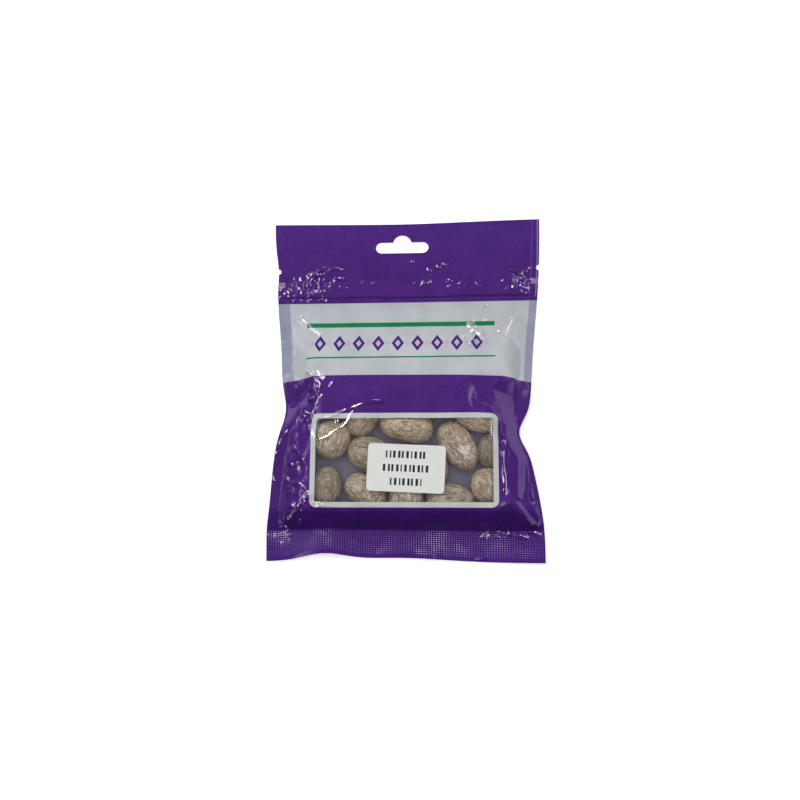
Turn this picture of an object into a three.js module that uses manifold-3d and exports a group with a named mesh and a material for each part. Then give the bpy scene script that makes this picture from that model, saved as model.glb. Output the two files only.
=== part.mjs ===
// A sealed pouch of whole nutmegs, lying on its back with its window up.
//
// The pouch is one film bag, welded along both sides and the bottom. From the bottom it has a crimped
// seal, a pillow over a single layer of nutmegs, a slope down to the press-to-close zip, and a flat
// header with a hang hole and two tear notches. A paper sticker lies on the pillow, over the window.
//
// Millimetres. +Z up, +Y towards the header, origin on the table under the middle of the pouch.

import * as THREE from "three";
import { mergeVertices } from "three/addons/utils/BufferGeometryUtils.js";
import Module from "manifold-3d";

const wasm = await Module();
wasm.setup();

// Driving dimensions of the flat, empty pouch.
const HALF_WIDTH = 72.5;
const HALF_LENGTH = 91.7;
const SIDE_SEAL = 6.5;
const BOTTOM_SEAL = 16.2;
const FIN = 0.8; // thickness of two welded films

// The filled pouch. The film rests on the contents and sags a little between them.
const SAG_HEIGHT = 15.4;
const CREST = 2.4; // how far the film over a nutmeg stands above SAG_HEIGHT
const CREST_SPREAD = 0.42; // of the nutmeg's length and width
const FILLED_TO = -8; // the contents reach up to here along Y
const BOTTOM_SHOULDER = 12;
const LEFT_SHOULDER = 15;
const RIGHT_SHOULDER = 10;
const BACK_SPREAD = 2.4; // how much sooner the back film meets the table than the front film its top

// The seams ride above the table where the pillow lifts them.
const SEAM_REST = 0.5;
const SIDE_LIFT = { y: -25, height: 4.5, spread: 34 };
const BOTTOM_LIFT = { y: -75, height: 2.6, spread: 9 };
const CURL = { x: -40, y: -86, height: 3.2, spread: 13 };

// Where the pillow draws the edges in: position along the edge, depth and spread.
const LEFT_PULLS = [
  { at: 0, depth: 6.5, spread: 52 },
  { at: -13, depth: 3.4, spread: 12.4 },
  { at: 65, depth: 1.4, spread: 11.5 },
];
const RIGHT_PULLS = [
  { at: -34, depth: 4.5, spread: 27 },
  { at: -25, depth: 5.1, spread: 9.4 },
  { at: 3, depth: 5.2, spread: 45 },
];
const BOTTOM_PULLS = [
  { at: -42, depth: 3.8, spread: 15.5 },
  { at: -3, depth: 2.2, spread: 33 },
];
const TOP_PULLS = [{ at: -2, depth: 1.2, spread: 50 }];
const PULL_REACH = 25; // how far into the pouch an end pull is felt

// The zip across the pouch: a welded band with a groove and two ribs.
const ZIP = { bottom: 47.5, top: 69, thickness: 1.6, blend: 4, ribs: [53.8, 56.9] };
const ZIP_RIB = { height: 0.9, width: 1 };
const GROOVE = { y: 49.6, depth: 0.7, width: 1.1 };
const END_CRUSH = 0.6; // the share of the zip's height that the side seals press out

// Hang hole: a slot with round ends and a dome over its middle.
const HOLE = { x: -1.9, y: 77.7, length: 28.8, height: 6.6, domeRadius: 5, domeCentre: 2.5 };
const NOTCH = { y: 64.6, radius: 1.5 };
const CUT_DEPTH = 20; // longer than the pouch is thick, so that every cut goes through
const HOLE_SEGMENTS = 10;
const NOTCH_SEGMENTS = 14;

const STICKER = { x: 2, y: -44.5, width: 39.6, height: 24.2, corner: 2.4, turn: -2.5, thickness: 0.4 };
const CORNER_SEGMENTS = 6;
const STICKER_GAP = 0.3;
const STICKER_BED = 17.2; // height of the film under the sticker
const BED_MARGIN = 4; // the film is flat this far past the sticker's edge
const BED_BLEND = 5;

// The nutmegs of the layer: place of the centre, length, width and the turn of the long axis in degrees.
const NUTMEGS = [
  { x: -37.5, y: -28.7, length: 20.4, width: 19.2, turn: 70 },
  { x: -20.7, y: -16.3, length: 23.2, width: 16.2, turn: 60 },
  { x: 1.4, y: -21.8, length: 28.2, width: 17.2, turn: -12 },
  { x: -16.6, y: -36.9, length: 25.2, width: 18.2, turn: -17 },
  { x: 27.9, y: -31.9, length: 27.4, width: 17.2, turn: -58 },
  { x: 37, y: -16.3, length: 24, width: 16.2, turn: -26 },
  { x: 47, y: -35, length: 18, width: 16.4, turn: 85 },
  { x: -39.7, y: -53.2, length: 21.2, width: 15.4, turn: 88 },
  { x: -19.3, y: -56.1, length: 23.8, width: 15.8, turn: -35 },
  { x: 14.2, y: -44.2, length: 18.6, width: 15.6, turn: 8 },
  { x: 1.6, y: -60.2, length: 20, width: 18, turn: 90 },
  { x: 24.1, y: -60.3, length: 25, width: 17.4, turn: -8 },
  { x: 42.9, y: -52.9, length: 18.4, width: 16.6, turn: 100 },
];

// Folds of the front film beside the pillow, from one point to another.
const FOLDS = [
  { from: [-58, -11], to: [-44, -1], height: 1.6, width: 2.4 },
  { from: [-55, -10], to: [-51, -25], height: 1.5, width: 2 },
  { from: [-60, -20], to: [-50, -40], height: 1.1, width: 2.2 },
  { from: [-50, -58], to: [-62, -71], height: 1.2, width: 2 },
  { from: [45, 1], to: [57, -12], height: 1.9, width: 2.8 },
  { from: [48, -5], to: [52, -29], height: 1.3, width: 2.2 },
  { from: [53, -30], to: [58, -50], height: 1.8, width: 2.4 },
  { from: [50, -59], to: [62, -72], height: 1.4, width: 2.4 },
  { from: [-54, -76], to: [-32, -71], height: 1.2, width: 2 },
  { from: [28, -76], to: [42, -71], height: 1.1, width: 2 },
];

const FOLDS_FROM = 0.25; // the fullness at which a fold has its whole height

// The grid that both faces of the film are built on: rows up the pouch and columns across it.
const ROWS = [
  { to: -HALF_LENGTH + BOTTOM_SEAL, steps: 4 },
  { to: -60, steps: 6 },
  { to: -4, steps: 19 },
  { to: 46, steps: 12 },
  { to: 59.5, steps: 9 },
  { to: ZIP.top + 1, steps: 3 },
  { to: HALF_LENGTH, steps: 4 },
];
const SEAL_SHARE = 1 - SIDE_SEAL / HALF_WIDTH;
const COLUMNS = [
  { to: -SEAL_SHARE, steps: 2 },
  { to: -0.7, steps: 5 },
  { to: 0.74, steps: 28 },
  { to: SEAL_SHARE, steps: 5 },
  { to: 1, steps: 2 },
];

const clamp01 = (t) => Math.min(1, Math.max(0, t));
const bell = (value, centre, spread) => Math.exp(-(((value - centre) / spread) ** 2));
const ease = (low, high, value) => THREE.MathUtils.smoothstep(value, low, high);
const round = (t) => Math.sin((clamp01(t) * Math.PI) / 2);
const pulled = (pulls, at) => pulls.reduce((sum, p) => sum + p.depth * bell(at, p.at, p.spread), 0);

// Grid lines from start, through the end of each stretch.
function gridLines(start, stretches) {
  const lines = [start];
  for (const { to, steps } of stretches) {
    const from = lines[lines.length - 1];
    for (let i = 1; i <= steps; i++) lines.push(THREE.MathUtils.lerp(from, to, i / steps));
  }
  return lines;
}

const leftEdge = (y) => -HALF_WIDTH + pulled(LEFT_PULLS, y);
const rightEdge = (y) => HALF_WIDTH - pulled(RIGHT_PULLS, y);

// Where a point of the flat pouch lies once it is filled. Across is -1 to 1 from edge to edge, and y is
// its flat place.
function place(across, y) {
  const x = THREE.MathUtils.lerp(leftEdge(y), rightEdge(y), (across + 1) / 2);
  const fromBottom = 1 - ease(-HALF_LENGTH, -HALF_LENGTH + PULL_REACH, y);
  const fromTop = ease(HALF_LENGTH - PULL_REACH, HALF_LENGTH, y);
  return [x, y + pulled(BOTTOM_PULLS, x) * fromBottom - pulled(TOP_PULLS, x) * fromTop];
}

// How full the pouch is at a point, from 0 on the seals and the header to 1 on the pillow.
function fullness(x, y) {
  const left = round((x - leftEdge(y) - SIDE_SEAL) / LEFT_SHOULDER);
  const right = round((rightEdge(y) - SIDE_SEAL - x) / RIGHT_SHOULDER);
  const bottom = round((y + HALF_LENGTH - BOTTOM_SEAL) / BOTTOM_SHOULDER);
  const slope = 1 - ease(FILLED_TO, ZIP.bottom, y);
  return left * right * bottom * slope;
}

// Middle height of the film pair where it is welded, before the pillow parts it.
function seamHeight(across, x, y) {
  const side = SIDE_LIFT.height * bell(y, SIDE_LIFT.y, SIDE_LIFT.spread) * ease(0.5, 1, Math.abs(across));
  const bottom = BOTTOM_LIFT.height * bell(y, BOTTOM_LIFT.y, BOTTOM_LIFT.spread);
  const curl = CURL.height * bell(x, CURL.x, CURL.spread) * bell(y, CURL.y, CURL.spread);
  return FIN / 2 + SEAM_REST * Math.abs(across) + side + bottom + curl;
}

// Rounded crests over the nutmegs, joined as chances are so that neighbours don't add up.
function crests(x, y) {
  let hollow = 1;
  for (const nut of NUTMEGS) {
    const turn = THREE.MathUtils.degToRad(nut.turn);
    const along = (x - nut.x) * Math.cos(turn) + (y - nut.y) * Math.sin(turn);
    const beside = (y - nut.y) * Math.cos(turn) - (x - nut.x) * Math.sin(turn);
    hollow *= 1 - bell(along, 0, nut.length * CREST_SPREAD) * bell(beside, 0, nut.width * CREST_SPREAD);
  }
  return 1 - hollow;
}

function foldHeight(x, y) {
  let height = 0;
  for (const fold of FOLDS) {
    const from = new THREE.Vector2(...fold.from);
    const run = new THREE.Vector2(...fold.to).sub(from);
    const point = new THREE.Vector2(x, y).sub(from);
    const share = point.dot(run) / run.lengthSq();
    const beside = point.cross(run) / run.length();
    height += fold.height * bell(beside, 0, fold.width) * Math.sin(clamp01(share) * Math.PI);
  }
  return height;
}

// 1 under the sticker, falling to 0 outside its margin.
function stickerCover(x, y) {
  const turn = THREE.MathUtils.degToRad(STICKER.turn);
  const along = (x - STICKER.x) * Math.cos(turn) + (y - STICKER.y) * Math.sin(turn);
  const beside = (y - STICKER.y) * Math.cos(turn) - (x - STICKER.x) * Math.sin(turn);
  const past = Math.hypot(
    Math.max(0, Math.abs(along) - STICKER.width / 2 - BED_MARGIN),
    Math.max(0, Math.abs(beside) - STICKER.height / 2 - BED_MARGIN),
  );
  return 1 - ease(0, BED_BLEND, past);
}

// How far the zip stands above the welded films.
function zipHeight(across, y) {
  const rise = ease(ZIP.bottom - ZIP.blend, ZIP.bottom, y) * (1 - ease(ZIP.top - ZIP.blend, ZIP.top, y));
  const ribs = ZIP.ribs.reduce((sum, at) => sum + ZIP_RIB.height * bell(y, at, ZIP_RIB.width), 0);
  const groove = GROOVE.depth * bell(y, GROOVE.y, GROOVE.width);
  const crush = END_CRUSH * ease(SEAL_SHARE, 1, Math.abs(across));
  return ((ZIP.thickness - FIN) * rise + ribs - groove) * (1 - crush);
}

// Heights of the back and the front film at a point.
function filmHeights(across, y0) {
  const [x, y] = place(across, y0);
  const full = fullness(x, y);
  const seam = seamHeight(across, x, y);
  const back = (seam - FIN / 2) * (1 - clamp01(full * BACK_SPREAD));
  const draped = SAG_HEIGHT + CREST * crests(x, y);
  const pillow = THREE.MathUtils.lerp(draped, STICKER_BED, stickerCover(x, y));
  const fold = foldHeight(x, y) * ease(0, FOLDS_FROM, full);
  const front = THREE.MathUtils.lerp(seam + FIN / 2, pillow, full) + fold + zipHeight(across, y0);
  return { x, y, back, front: Math.max(front, back + FIN) };
}

// Two grids, one for each face, joined round the rim.
function pouchGeometry() {
  const rows = gridLines(-HALF_LENGTH, ROWS);
  const columns = gridLines(-1, COLUMNS);
  const count = rows.length * columns.length;
  const positions = new Float32Array(count * 2 * 3);
  const index = [];
  rows.forEach((y0, r) =>
    columns.forEach((across, c) => {
      const { x, y, back, front } = filmHeights(across, y0);
      const i = r * columns.length + c;
      positions.set([x, y, front], i * 3);
      positions.set([x, y, back], (count + i) * 3);
    }),
  );
  const quad = (a, b, c, d) => index.push(a, b, c, a, c, d);
  const at = (r, c) => r * columns.length + c;
  const lastRow = rows.length - 1;
  const lastColumn = columns.length - 1;
  for (let r = 0; r < lastRow; r++)
    for (let c = 0; c < lastColumn; c++) {
      quad(at(r, c), at(r, c + 1), at(r + 1, c + 1), at(r + 1, c));
      quad(count + at(r + 1, c), count + at(r + 1, c + 1), count + at(r, c + 1), count + at(r, c));
    }
  const rim = (a, b) => quad(count + a, count + b, b, a);
  for (let c = 0; c < lastColumn; c++) {
    rim(at(0, c), at(0, c + 1));
    rim(at(lastRow, c + 1), at(lastRow, c));
  }
  for (let r = 0; r < lastRow; r++) {
    rim(at(r, lastColumn), at(r + 1, lastColumn));
    rim(at(r + 1, 0), at(r, 0));
  }
  const geometry = new THREE.BufferGeometry();
  geometry.setAttribute("position", new THREE.BufferAttribute(positions, 3));
  return geometry.setIndex(index);
}

// Outline of the hang hole, anticlockwise from the slot's lower left, with the dome on its upper side.
function hangHoleGeometry() {
  const radius = HOLE.height / 2;
  const straight = HOLE.length / 2 - radius;
  const domeRise = radius - HOLE.domeCentre;
  const domeFoot = Math.sqrt(HOLE.domeRadius ** 2 - domeRise ** 2);
  const domeAngle = Math.atan2(domeRise, domeFoot);
  const outline = new THREE.Shape();
  outline.moveTo(-straight, -radius);
  outline.lineTo(straight, -radius);
  outline.absarc(straight, 0, radius, -Math.PI / 2, Math.PI / 2);
  outline.lineTo(domeFoot, radius);
  outline.absarc(0, HOLE.domeCentre, HOLE.domeRadius, domeAngle, Math.PI - domeAngle);
  outline.lineTo(-straight, radius);
  outline.absarc(-straight, 0, radius, Math.PI / 2, (3 * Math.PI) / 2);
  const cut = { depth: CUT_DEPTH, bevelEnabled: false, curveSegments: HOLE_SEGMENTS };
  return new THREE.ExtrudeGeometry(outline, cut).translate(HOLE.x, HOLE.y, -CUT_DEPTH / 2);
}

function notchGeometry(edgeX) {
  return new THREE.CylinderGeometry(NOTCH.radius, NOTCH.radius, CUT_DEPTH, NOTCH_SEGMENTS)
    .rotateX(Math.PI / 2)
    .translate(edgeX, NOTCH.y, 0);
}

function stickerGeometry() {
  const w = STICKER.width / 2;
  const h = STICKER.height / 2;
  const r = STICKER.corner;
  const outline = new THREE.Shape();
  outline.moveTo(-w + r, -h);
  outline.absarc(w - r, -h + r, r, -Math.PI / 2, 0);
  outline.absarc(w - r, h - r, r, 0, Math.PI / 2);
  outline.absarc(-w + r, h - r, r, Math.PI / 2, Math.PI);
  outline.absarc(-w + r, -h + r, r, Math.PI, (3 * Math.PI) / 2);
  const sheet = { depth: STICKER.thickness, bevelEnabled: false, curveSegments: CORNER_SEGMENTS };
  return new THREE.ExtrudeGeometry(outline, sheet);
}

function solidOf(geometry) {
  const bare = geometry.clone();
  bare.deleteAttribute("normal");
  bare.deleteAttribute("uv");
  const merged = mergeVertices(bare, 1e-4);
  return new wasm.Manifold(
    new wasm.Mesh({
      numProp: 3,
      vertProperties: merged.attributes.position.array,
      triVerts: new Uint32Array(merged.index.array),
    }),
  );
}

function geometryOf(solid) {
  const { vertProperties, triVerts } = solid.getMesh();
  const geometry = new THREE.BufferGeometry();
  geometry.setAttribute("position", new THREE.BufferAttribute(vertProperties, 3));
  geometry.setIndex(new THREE.BufferAttribute(triVerts, 1));
  geometry.computeVertexNormals();
  return geometry;
}

function makePouch() {
  const solid = solidOf(pouchGeometry())
    .subtract(solidOf(hangHoleGeometry()))
    .subtract(solidOf(notchGeometry(leftEdge(NOTCH.y))))
    .subtract(solidOf(notchGeometry(rightEdge(NOTCH.y))));
  const film = new THREE.MeshStandardMaterial({ color: 0x4a2876, roughness: 0.3, metalness: 0 });
  const pouch = new THREE.Mesh(geometryOf(solid), film);
  pouch.name = "pouch";
  return pouch;
}

function makeSticker() {
  const paper = new THREE.MeshStandardMaterial({ color: 0xe3e6e1, roughness: 0.6, metalness: 0 });
  const sticker = new THREE.Mesh(stickerGeometry(), paper);
  sticker.name = "sticker";
  sticker.position.set(STICKER.x, STICKER.y, STICKER_BED + STICKER_GAP);
  sticker.rotation.z = THREE.MathUtils.degToRad(STICKER.turn);
  return sticker;
}

const nutmegPouch = new THREE.Group();
nutmegPouch.add(makePouch(), makeSticker());

export default nutmegPouch;
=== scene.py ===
"""A sealed film pouch of whole nutmegs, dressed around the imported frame.

The pouch lies on its back. Its parts, from the foot to the head, are a crimped bottom seal, a
pillow of printed film with a clear window, and a header with a press-to-close zip and a hang hole.
Nutmegs lie behind the window and a paper sticker lies on it.

All shapes are worked out in millimetres, in the frame's axes, and become metres when a mesh is
made. Film has flat coordinates u (across, to the right) and v (along, towards the header), in
which the empty pouch is a plain rectangle. The print is laid out in these, so that it bends with
the film.
"""

import logging
import math
from dataclasses import dataclass, field
from enum import Enum
from typing import Callable

import bmesh
import bpy
import numpy as np
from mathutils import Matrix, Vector


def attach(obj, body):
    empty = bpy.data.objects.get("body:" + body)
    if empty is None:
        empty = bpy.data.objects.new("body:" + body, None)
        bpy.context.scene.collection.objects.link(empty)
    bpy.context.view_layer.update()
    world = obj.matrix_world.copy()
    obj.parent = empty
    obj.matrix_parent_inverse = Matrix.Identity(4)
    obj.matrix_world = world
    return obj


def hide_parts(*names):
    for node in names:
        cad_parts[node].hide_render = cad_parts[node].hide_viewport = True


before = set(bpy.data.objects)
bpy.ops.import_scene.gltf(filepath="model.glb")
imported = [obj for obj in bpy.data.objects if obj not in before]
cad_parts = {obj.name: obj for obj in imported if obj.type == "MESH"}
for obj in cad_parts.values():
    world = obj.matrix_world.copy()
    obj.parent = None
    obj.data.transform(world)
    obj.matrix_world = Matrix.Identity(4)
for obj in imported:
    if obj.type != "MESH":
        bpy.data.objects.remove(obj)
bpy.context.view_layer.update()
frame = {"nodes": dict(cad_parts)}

Array = np.ndarray
Random = np.random.Generator
Pair = tuple[float, float]
Triple = tuple[float, float, float]

LOG = logging.getLogger("nutmeg_pouch")
MM = 0.001
BODY = "root"
CRIMP_PITCH = (145 / 112, 1.157)
CRIMP_START = -77.0
TRIANGLE_HEIGHT = 0.866
TINY = 1e-6


# --- Curves that every shape uses ---


def bell(value: Array, centre: float, spread: float) -> Array:
    """exp(-((value - centre) / spread)^2), 1 at the centre."""
    return np.exp(-(((value - centre) / spread) ** 2))


def ease(low: float, high: float, value: Array) -> Array:
    """0 at low and 1 at high, along 3t^2 - 2t^3 between them."""
    t = np.clip((value - low) / (high - low), 0, 1)
    return t * t * (3 - 2 * t)


def quarter(value: Array) -> Array:
    """A quarter of a sine wave: 0 at 0, 1 from 1 on, steep first and level last."""
    return np.sin(np.clip(value, 0, 1) * np.pi / 2)


def turned(x: Array, y: Array, centre: Pair, degrees: float) -> tuple[Array, Array]:
    """Coordinates along and beside a line through centre.

    Args:
        x: Across the pouch.
        y: Along the pouch.
        centre: The origin of the new axes.
        degrees: How far the first new axis is turned from +X.

    Returns:
        The distance along the turned axis and the distance beside it.
    """
    cos, sin = math.cos(math.radians(degrees)), math.sin(math.radians(degrees))
    dx, dy = x - centre[0], y - centre[1]
    return dx * cos + dy * sin, dy * cos - dx * sin


def turned_back(along: Array, beside: Array, centre: Pair, degrees: float) -> tuple[Array, Array]:
    """x and y of places that are given along and beside a line through centre."""
    cos, sin = math.cos(math.radians(degrees)), math.sin(math.radians(degrees))
    return centre[0] + along * cos - beside * sin, centre[1] + along * sin + beside * cos


def within(low: float, high: float, rims: Pair, value: Array) -> Array:
    """1 between low and high, eased to 0 at both over the two widths in rims."""
    return ease(low, low + rims[0], value) * ease(high, high - rims[1], value)


def box_distance(x: Array, y: Array, half: Pair, radius: float) -> Array:
    """Signed distance to a rectangle with round corners, centred on 0, 0: below 0 inside."""
    dx = np.abs(x) - half[0] + radius
    dy = np.abs(y) - half[1] + radius
    outside = np.hypot(np.maximum(dx, 0), np.maximum(dy, 0))
    return outside + np.minimum(np.maximum(dx, dy), 0) - radius


def lines(*stretches: Pair) -> Array:
    """Grid lines from stretches of (end, step), of which the first only gives the start."""
    out = [np.array([stretches[0][0]])]
    for (start, _), (end, step) in zip(stretches, stretches[1:]):
        count = max(1, round((end - start) / step))
        out.append(np.linspace(start, end, count + 1)[1:])
    return np.concatenate(out)


@dataclass
class Lattice:
    """Values on evenly spaced lines of u and v, read between them by cubic interpolation.

    A value between lines is the Catmull-Rom mean of the 4 by 4 values round it.
    """

    start: Pair
    step: Pair
    values: Array

    @staticmethod
    def weights(share: Array) -> list[Array]:
        """Catmull-Rom weights of four neighbours, at a share of the way from second to third."""
        s, s2, s3 = share, share**2, share**3
        before, after = 1.5 * s3 - 2.5 * s2 + 1, 2 * s2 - 1.5 * s3 + s / 2
        return [s2 - (s3 + s) / 2, before, after, (s3 - s2) / 2]

    def at(self, u: Array, v: Array) -> Array:
        """The value at each point (u, v), in the points' shape before the values' own."""
        rows, columns = self.values.shape[:2]
        a = np.clip((u - self.start[0]) / self.step[0], 0, columns - 1)
        b = np.clip((v - self.start[1]) / self.step[1], 0, rows - 1)
        i, j = np.minimum(b.astype(int), rows - 2), np.minimum(a.astype(int), columns - 2)
        wide = (...,) + (None,) * (self.values.ndim - 2)
        total = 0.0
        for p, wv in enumerate(self.weights(b - i)):
            row = np.clip(i + p - 1, 0, rows - 1)
            for q, wu in enumerate(self.weights(a - j)):
                column = np.clip(j + q - 1, 0, columns - 1)
                total = total + (wv * wu)[wide] * self.values[row, column]
        return total

    def finer(self, step: float) -> "Lattice":
        """The same values on lines about that step apart."""
        axes = []
        for start, gap, count in zip(self.start, self.step, self.values.shape[1::-1]):
            span = (count - 1) * gap
            axes.append(start + np.linspace(0, span, round(span / step) + 1))
        steps = tuple(axis[1] - axis[0] for axis in axes)
        return Lattice(self.start, steps, self.at(*np.meshgrid(*axes)))


def noise(cell: float, seed: int, reach: float = 110.0) -> Lattice:
    """Random hills about one cell wide, with a spread of 1, over the whole pouch."""
    count = math.ceil(2 * reach / cell) + 2
    values = np.random.default_rng(seed).normal(size=(count, count))
    return Lattice((-reach, -reach), (cell, cell), values)


@dataclass(frozen=True)
class Facets:
    """Crushed film: flat triangles between corners of random height, with sharp creases.

    The triangles are those of a regular lattice, stretched along one direction and swayed by
    smooth noise, so that the creases wind a little.
    """

    size: float
    height: float
    seed: int
    stretch: float = 1.0
    turn: float = 90.0
    sway: float = 0.4

    def rise(self, u: Array, v: Array) -> Array:
        """The height at each point, linear on each triangle, with a spread of self.height."""
        along, beside = turned(u, v, (0, 0), self.turn)
        shift = [self.sway * noise(2.5 * self.size, self.seed + extra).at(u, v) for extra in (1, 2)]
        column = beside / self.size / TRIANGLE_HEIGHT + shift[1]
        row = along / (self.size * self.stretch) - column / 2 + shift[0]
        i, j = np.floor(row).astype(int), np.floor(column).astype(int)
        a, b = row - i, column - j
        count = 128
        corners = np.random.default_rng(self.seed).normal(size=(count, count))

        def corner(ahead: int, aside: int) -> Array:
            """The height at one of the four corners round each point."""
            return corners[(i + ahead) % count, (j + aside) % count]

        far = a + b > 1
        turning = np.where(far, corner(1, 1), corner(0, 0))
        ahead, aside = corner(1, 0), corner(0, 1)
        near = turning * (1 - a - b) + ahead * a + aside * b
        beyond = turning * (a + b - 1) + ahead * (1 - b) + aside * (1 - a)
        return self.height * np.where(far, beyond, near)


@dataclass(frozen=True)
class Crush:
    """An oval patch of crushed film: its centre, its reach across and along, and its facets."""

    x: float
    y: float
    across: float
    along: float
    facets: Facets
    shine: float = 0.0

    def cover(self, x: Array, y: Array) -> Array:
        """1 inside the patch, fading out at its rim as exp(-(dx^2 + dy^2)^2)."""
        away = ((x - self.x) / self.across) ** 2 + ((y - self.y) / self.along) ** 2
        return np.exp(-(away**2))

    def rise(self, x: Array, y: Array) -> Array:
        """The facets' height inside the patch."""
        return self.facets.rise(x, y) * self.cover(x, y)


def glossy(patches: tuple[Crush, ...], x: Array, y: Array) -> Array:
    """How glossy crushed film is: the patches' shine, broken up by noise into separate glints."""
    glint_size, seed = 1.7, 61
    shine = np.clip(sum(patch.shine * patch.cover(x, y) for patch in patches), 0, 1)
    return shine * ease(-0.5, 0.4, noise(glint_size, seed).at(x, y))


# --- Lamps, and creases that mirror them ---


CAMERA_PLACE = (0.03593, -0.08135, 0.47125)


class Reach(Enum):
    """What a lamp does: soft light for the colours, or a shape that only the gloss mirrors."""

    COLOUR = "colour"
    GLOSS = "gloss"


def unit(vectors: Array) -> Array:
    """The vectors at length 1."""
    return vectors / np.linalg.norm(vectors, axis=-1, keepdims=True)


@dataclass(frozen=True)
class Lamp:
    """An area light that looks at the pouch, with its long side level."""

    name: str
    place: Triple
    size: Pair
    power: float
    reach: Reach

    def ends(self) -> tuple[Array, Array]:
        """Both ends of its long side, in metres."""
        place = np.array(self.place)
        half = unit(np.array([-place[1], place[0], 0.0])) * self.size[0] / 2
        return place - half, place + half

    def mirror_slopes(self, points: Array) -> tuple[Array, Array]:
        """The slopes that a glossy surface needs to show each end of the lamp to the camera.

        A mirror's normal is half way between the ways to the lamp and to the camera.

        Args:
            points: Points of the surface in millimetres, as (..., 3).

        Returns:
            The rise to the right and along the pouch, as (..., 2), for either end.
        """
        spots = points * MM
        to_camera = unit(np.array(CAMERA_PLACE) - spots)
        normals = [unit(unit(end - spots) + to_camera) for end in self.ends()]
        return tuple(-normal[..., :2] / normal[..., 2:] for normal in normals)

    def build(self) -> None:
        """Adds the light, turned towards the middle of the pouch."""
        data = bpy.data.lights.new(self.name, "AREA")
        data.shape = "RECTANGLE"
        data.size, data.size_y = self.size
        data.energy = self.power
        lamp = bpy.data.objects.new(self.name, data)
        lamp.location = self.place
        lamp.rotation_euler = (-Vector(self.place)).to_track_quat("-Z", "Y").to_euler()
        lamp.visible_diffuse = self.reach is Reach.COLOUR
        lamp.visible_glossy = self.reach is Reach.GLOSS
        bpy.context.collection.objects.link(lamp)


SOFT_LAMPS = (
    Lamp("key", (-0.3, 0.75, 0.85), (0.8, 0.6), 3.6, Reach.COLOUR),
    Lamp("top", (0.05, -0.05, 1.1), (0.8, 0.8), 4.6, Reach.COLOUR),
)
STRIPS = (
    Lamp("strip_left", (-0.62, 0.5, 0.85), (0.6, 0.14), 6.1, Reach.GLOSS),
    Lamp("strip_back", (-0.1, 1.3, 0.55), (0.5, 0.08), 2.9, Reach.GLOSS),
    Lamp("strip_right", (0.55, 0.35, 0.8), (0.4, 0.08), 2.3, Reach.GLOSS),
    Lamp("strip_side", (-0.5, -0.15, 0.6), (0.3, 0.06), 1.3, Reach.GLOSS),
    Lamp("strip_low", (-0.73, -0.78, 0.5), (0.4, 0.07), 2.1, Reach.GLOSS),
)
BOXES = (
    Lamp("box_right", (0.9, 0.0, 0.4), (0.9, 0.5), 8.4, Reach.GLOSS),
    Lamp("box_left", (-0.9, 0.15, 0.4), (0.7, 0.3), 4.8, Reach.GLOSS),
)


def slopes_of(points: Array) -> Array:
    """Rise of a grid of points to the right and along the pouch, as (..., 2)."""
    across, along = np.gradient(points, axis=1), np.gradient(points, axis=0)
    area = across[..., 0] * along[..., 1] - across[..., 1] * along[..., 0]
    to_right = (across[..., 2] * along[..., 1] - along[..., 2] * across[..., 1]) / area
    ahead = (along[..., 2] * across[..., 0] - across[..., 2] * along[..., 0]) / area
    return np.stack([to_right, ahead], -1)


def evened(values: Array, reach: int = 2) -> Array:
    """Each row's mean with its neighbours up to reach rows away."""
    padded = np.pad(values, [(reach, reach)] + [(0, 0)] * (values.ndim - 1), mode="edge")
    return sum(padded[i : i + len(values)] for i in range(2 * reach + 1)) / (2 * reach + 1)


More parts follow.
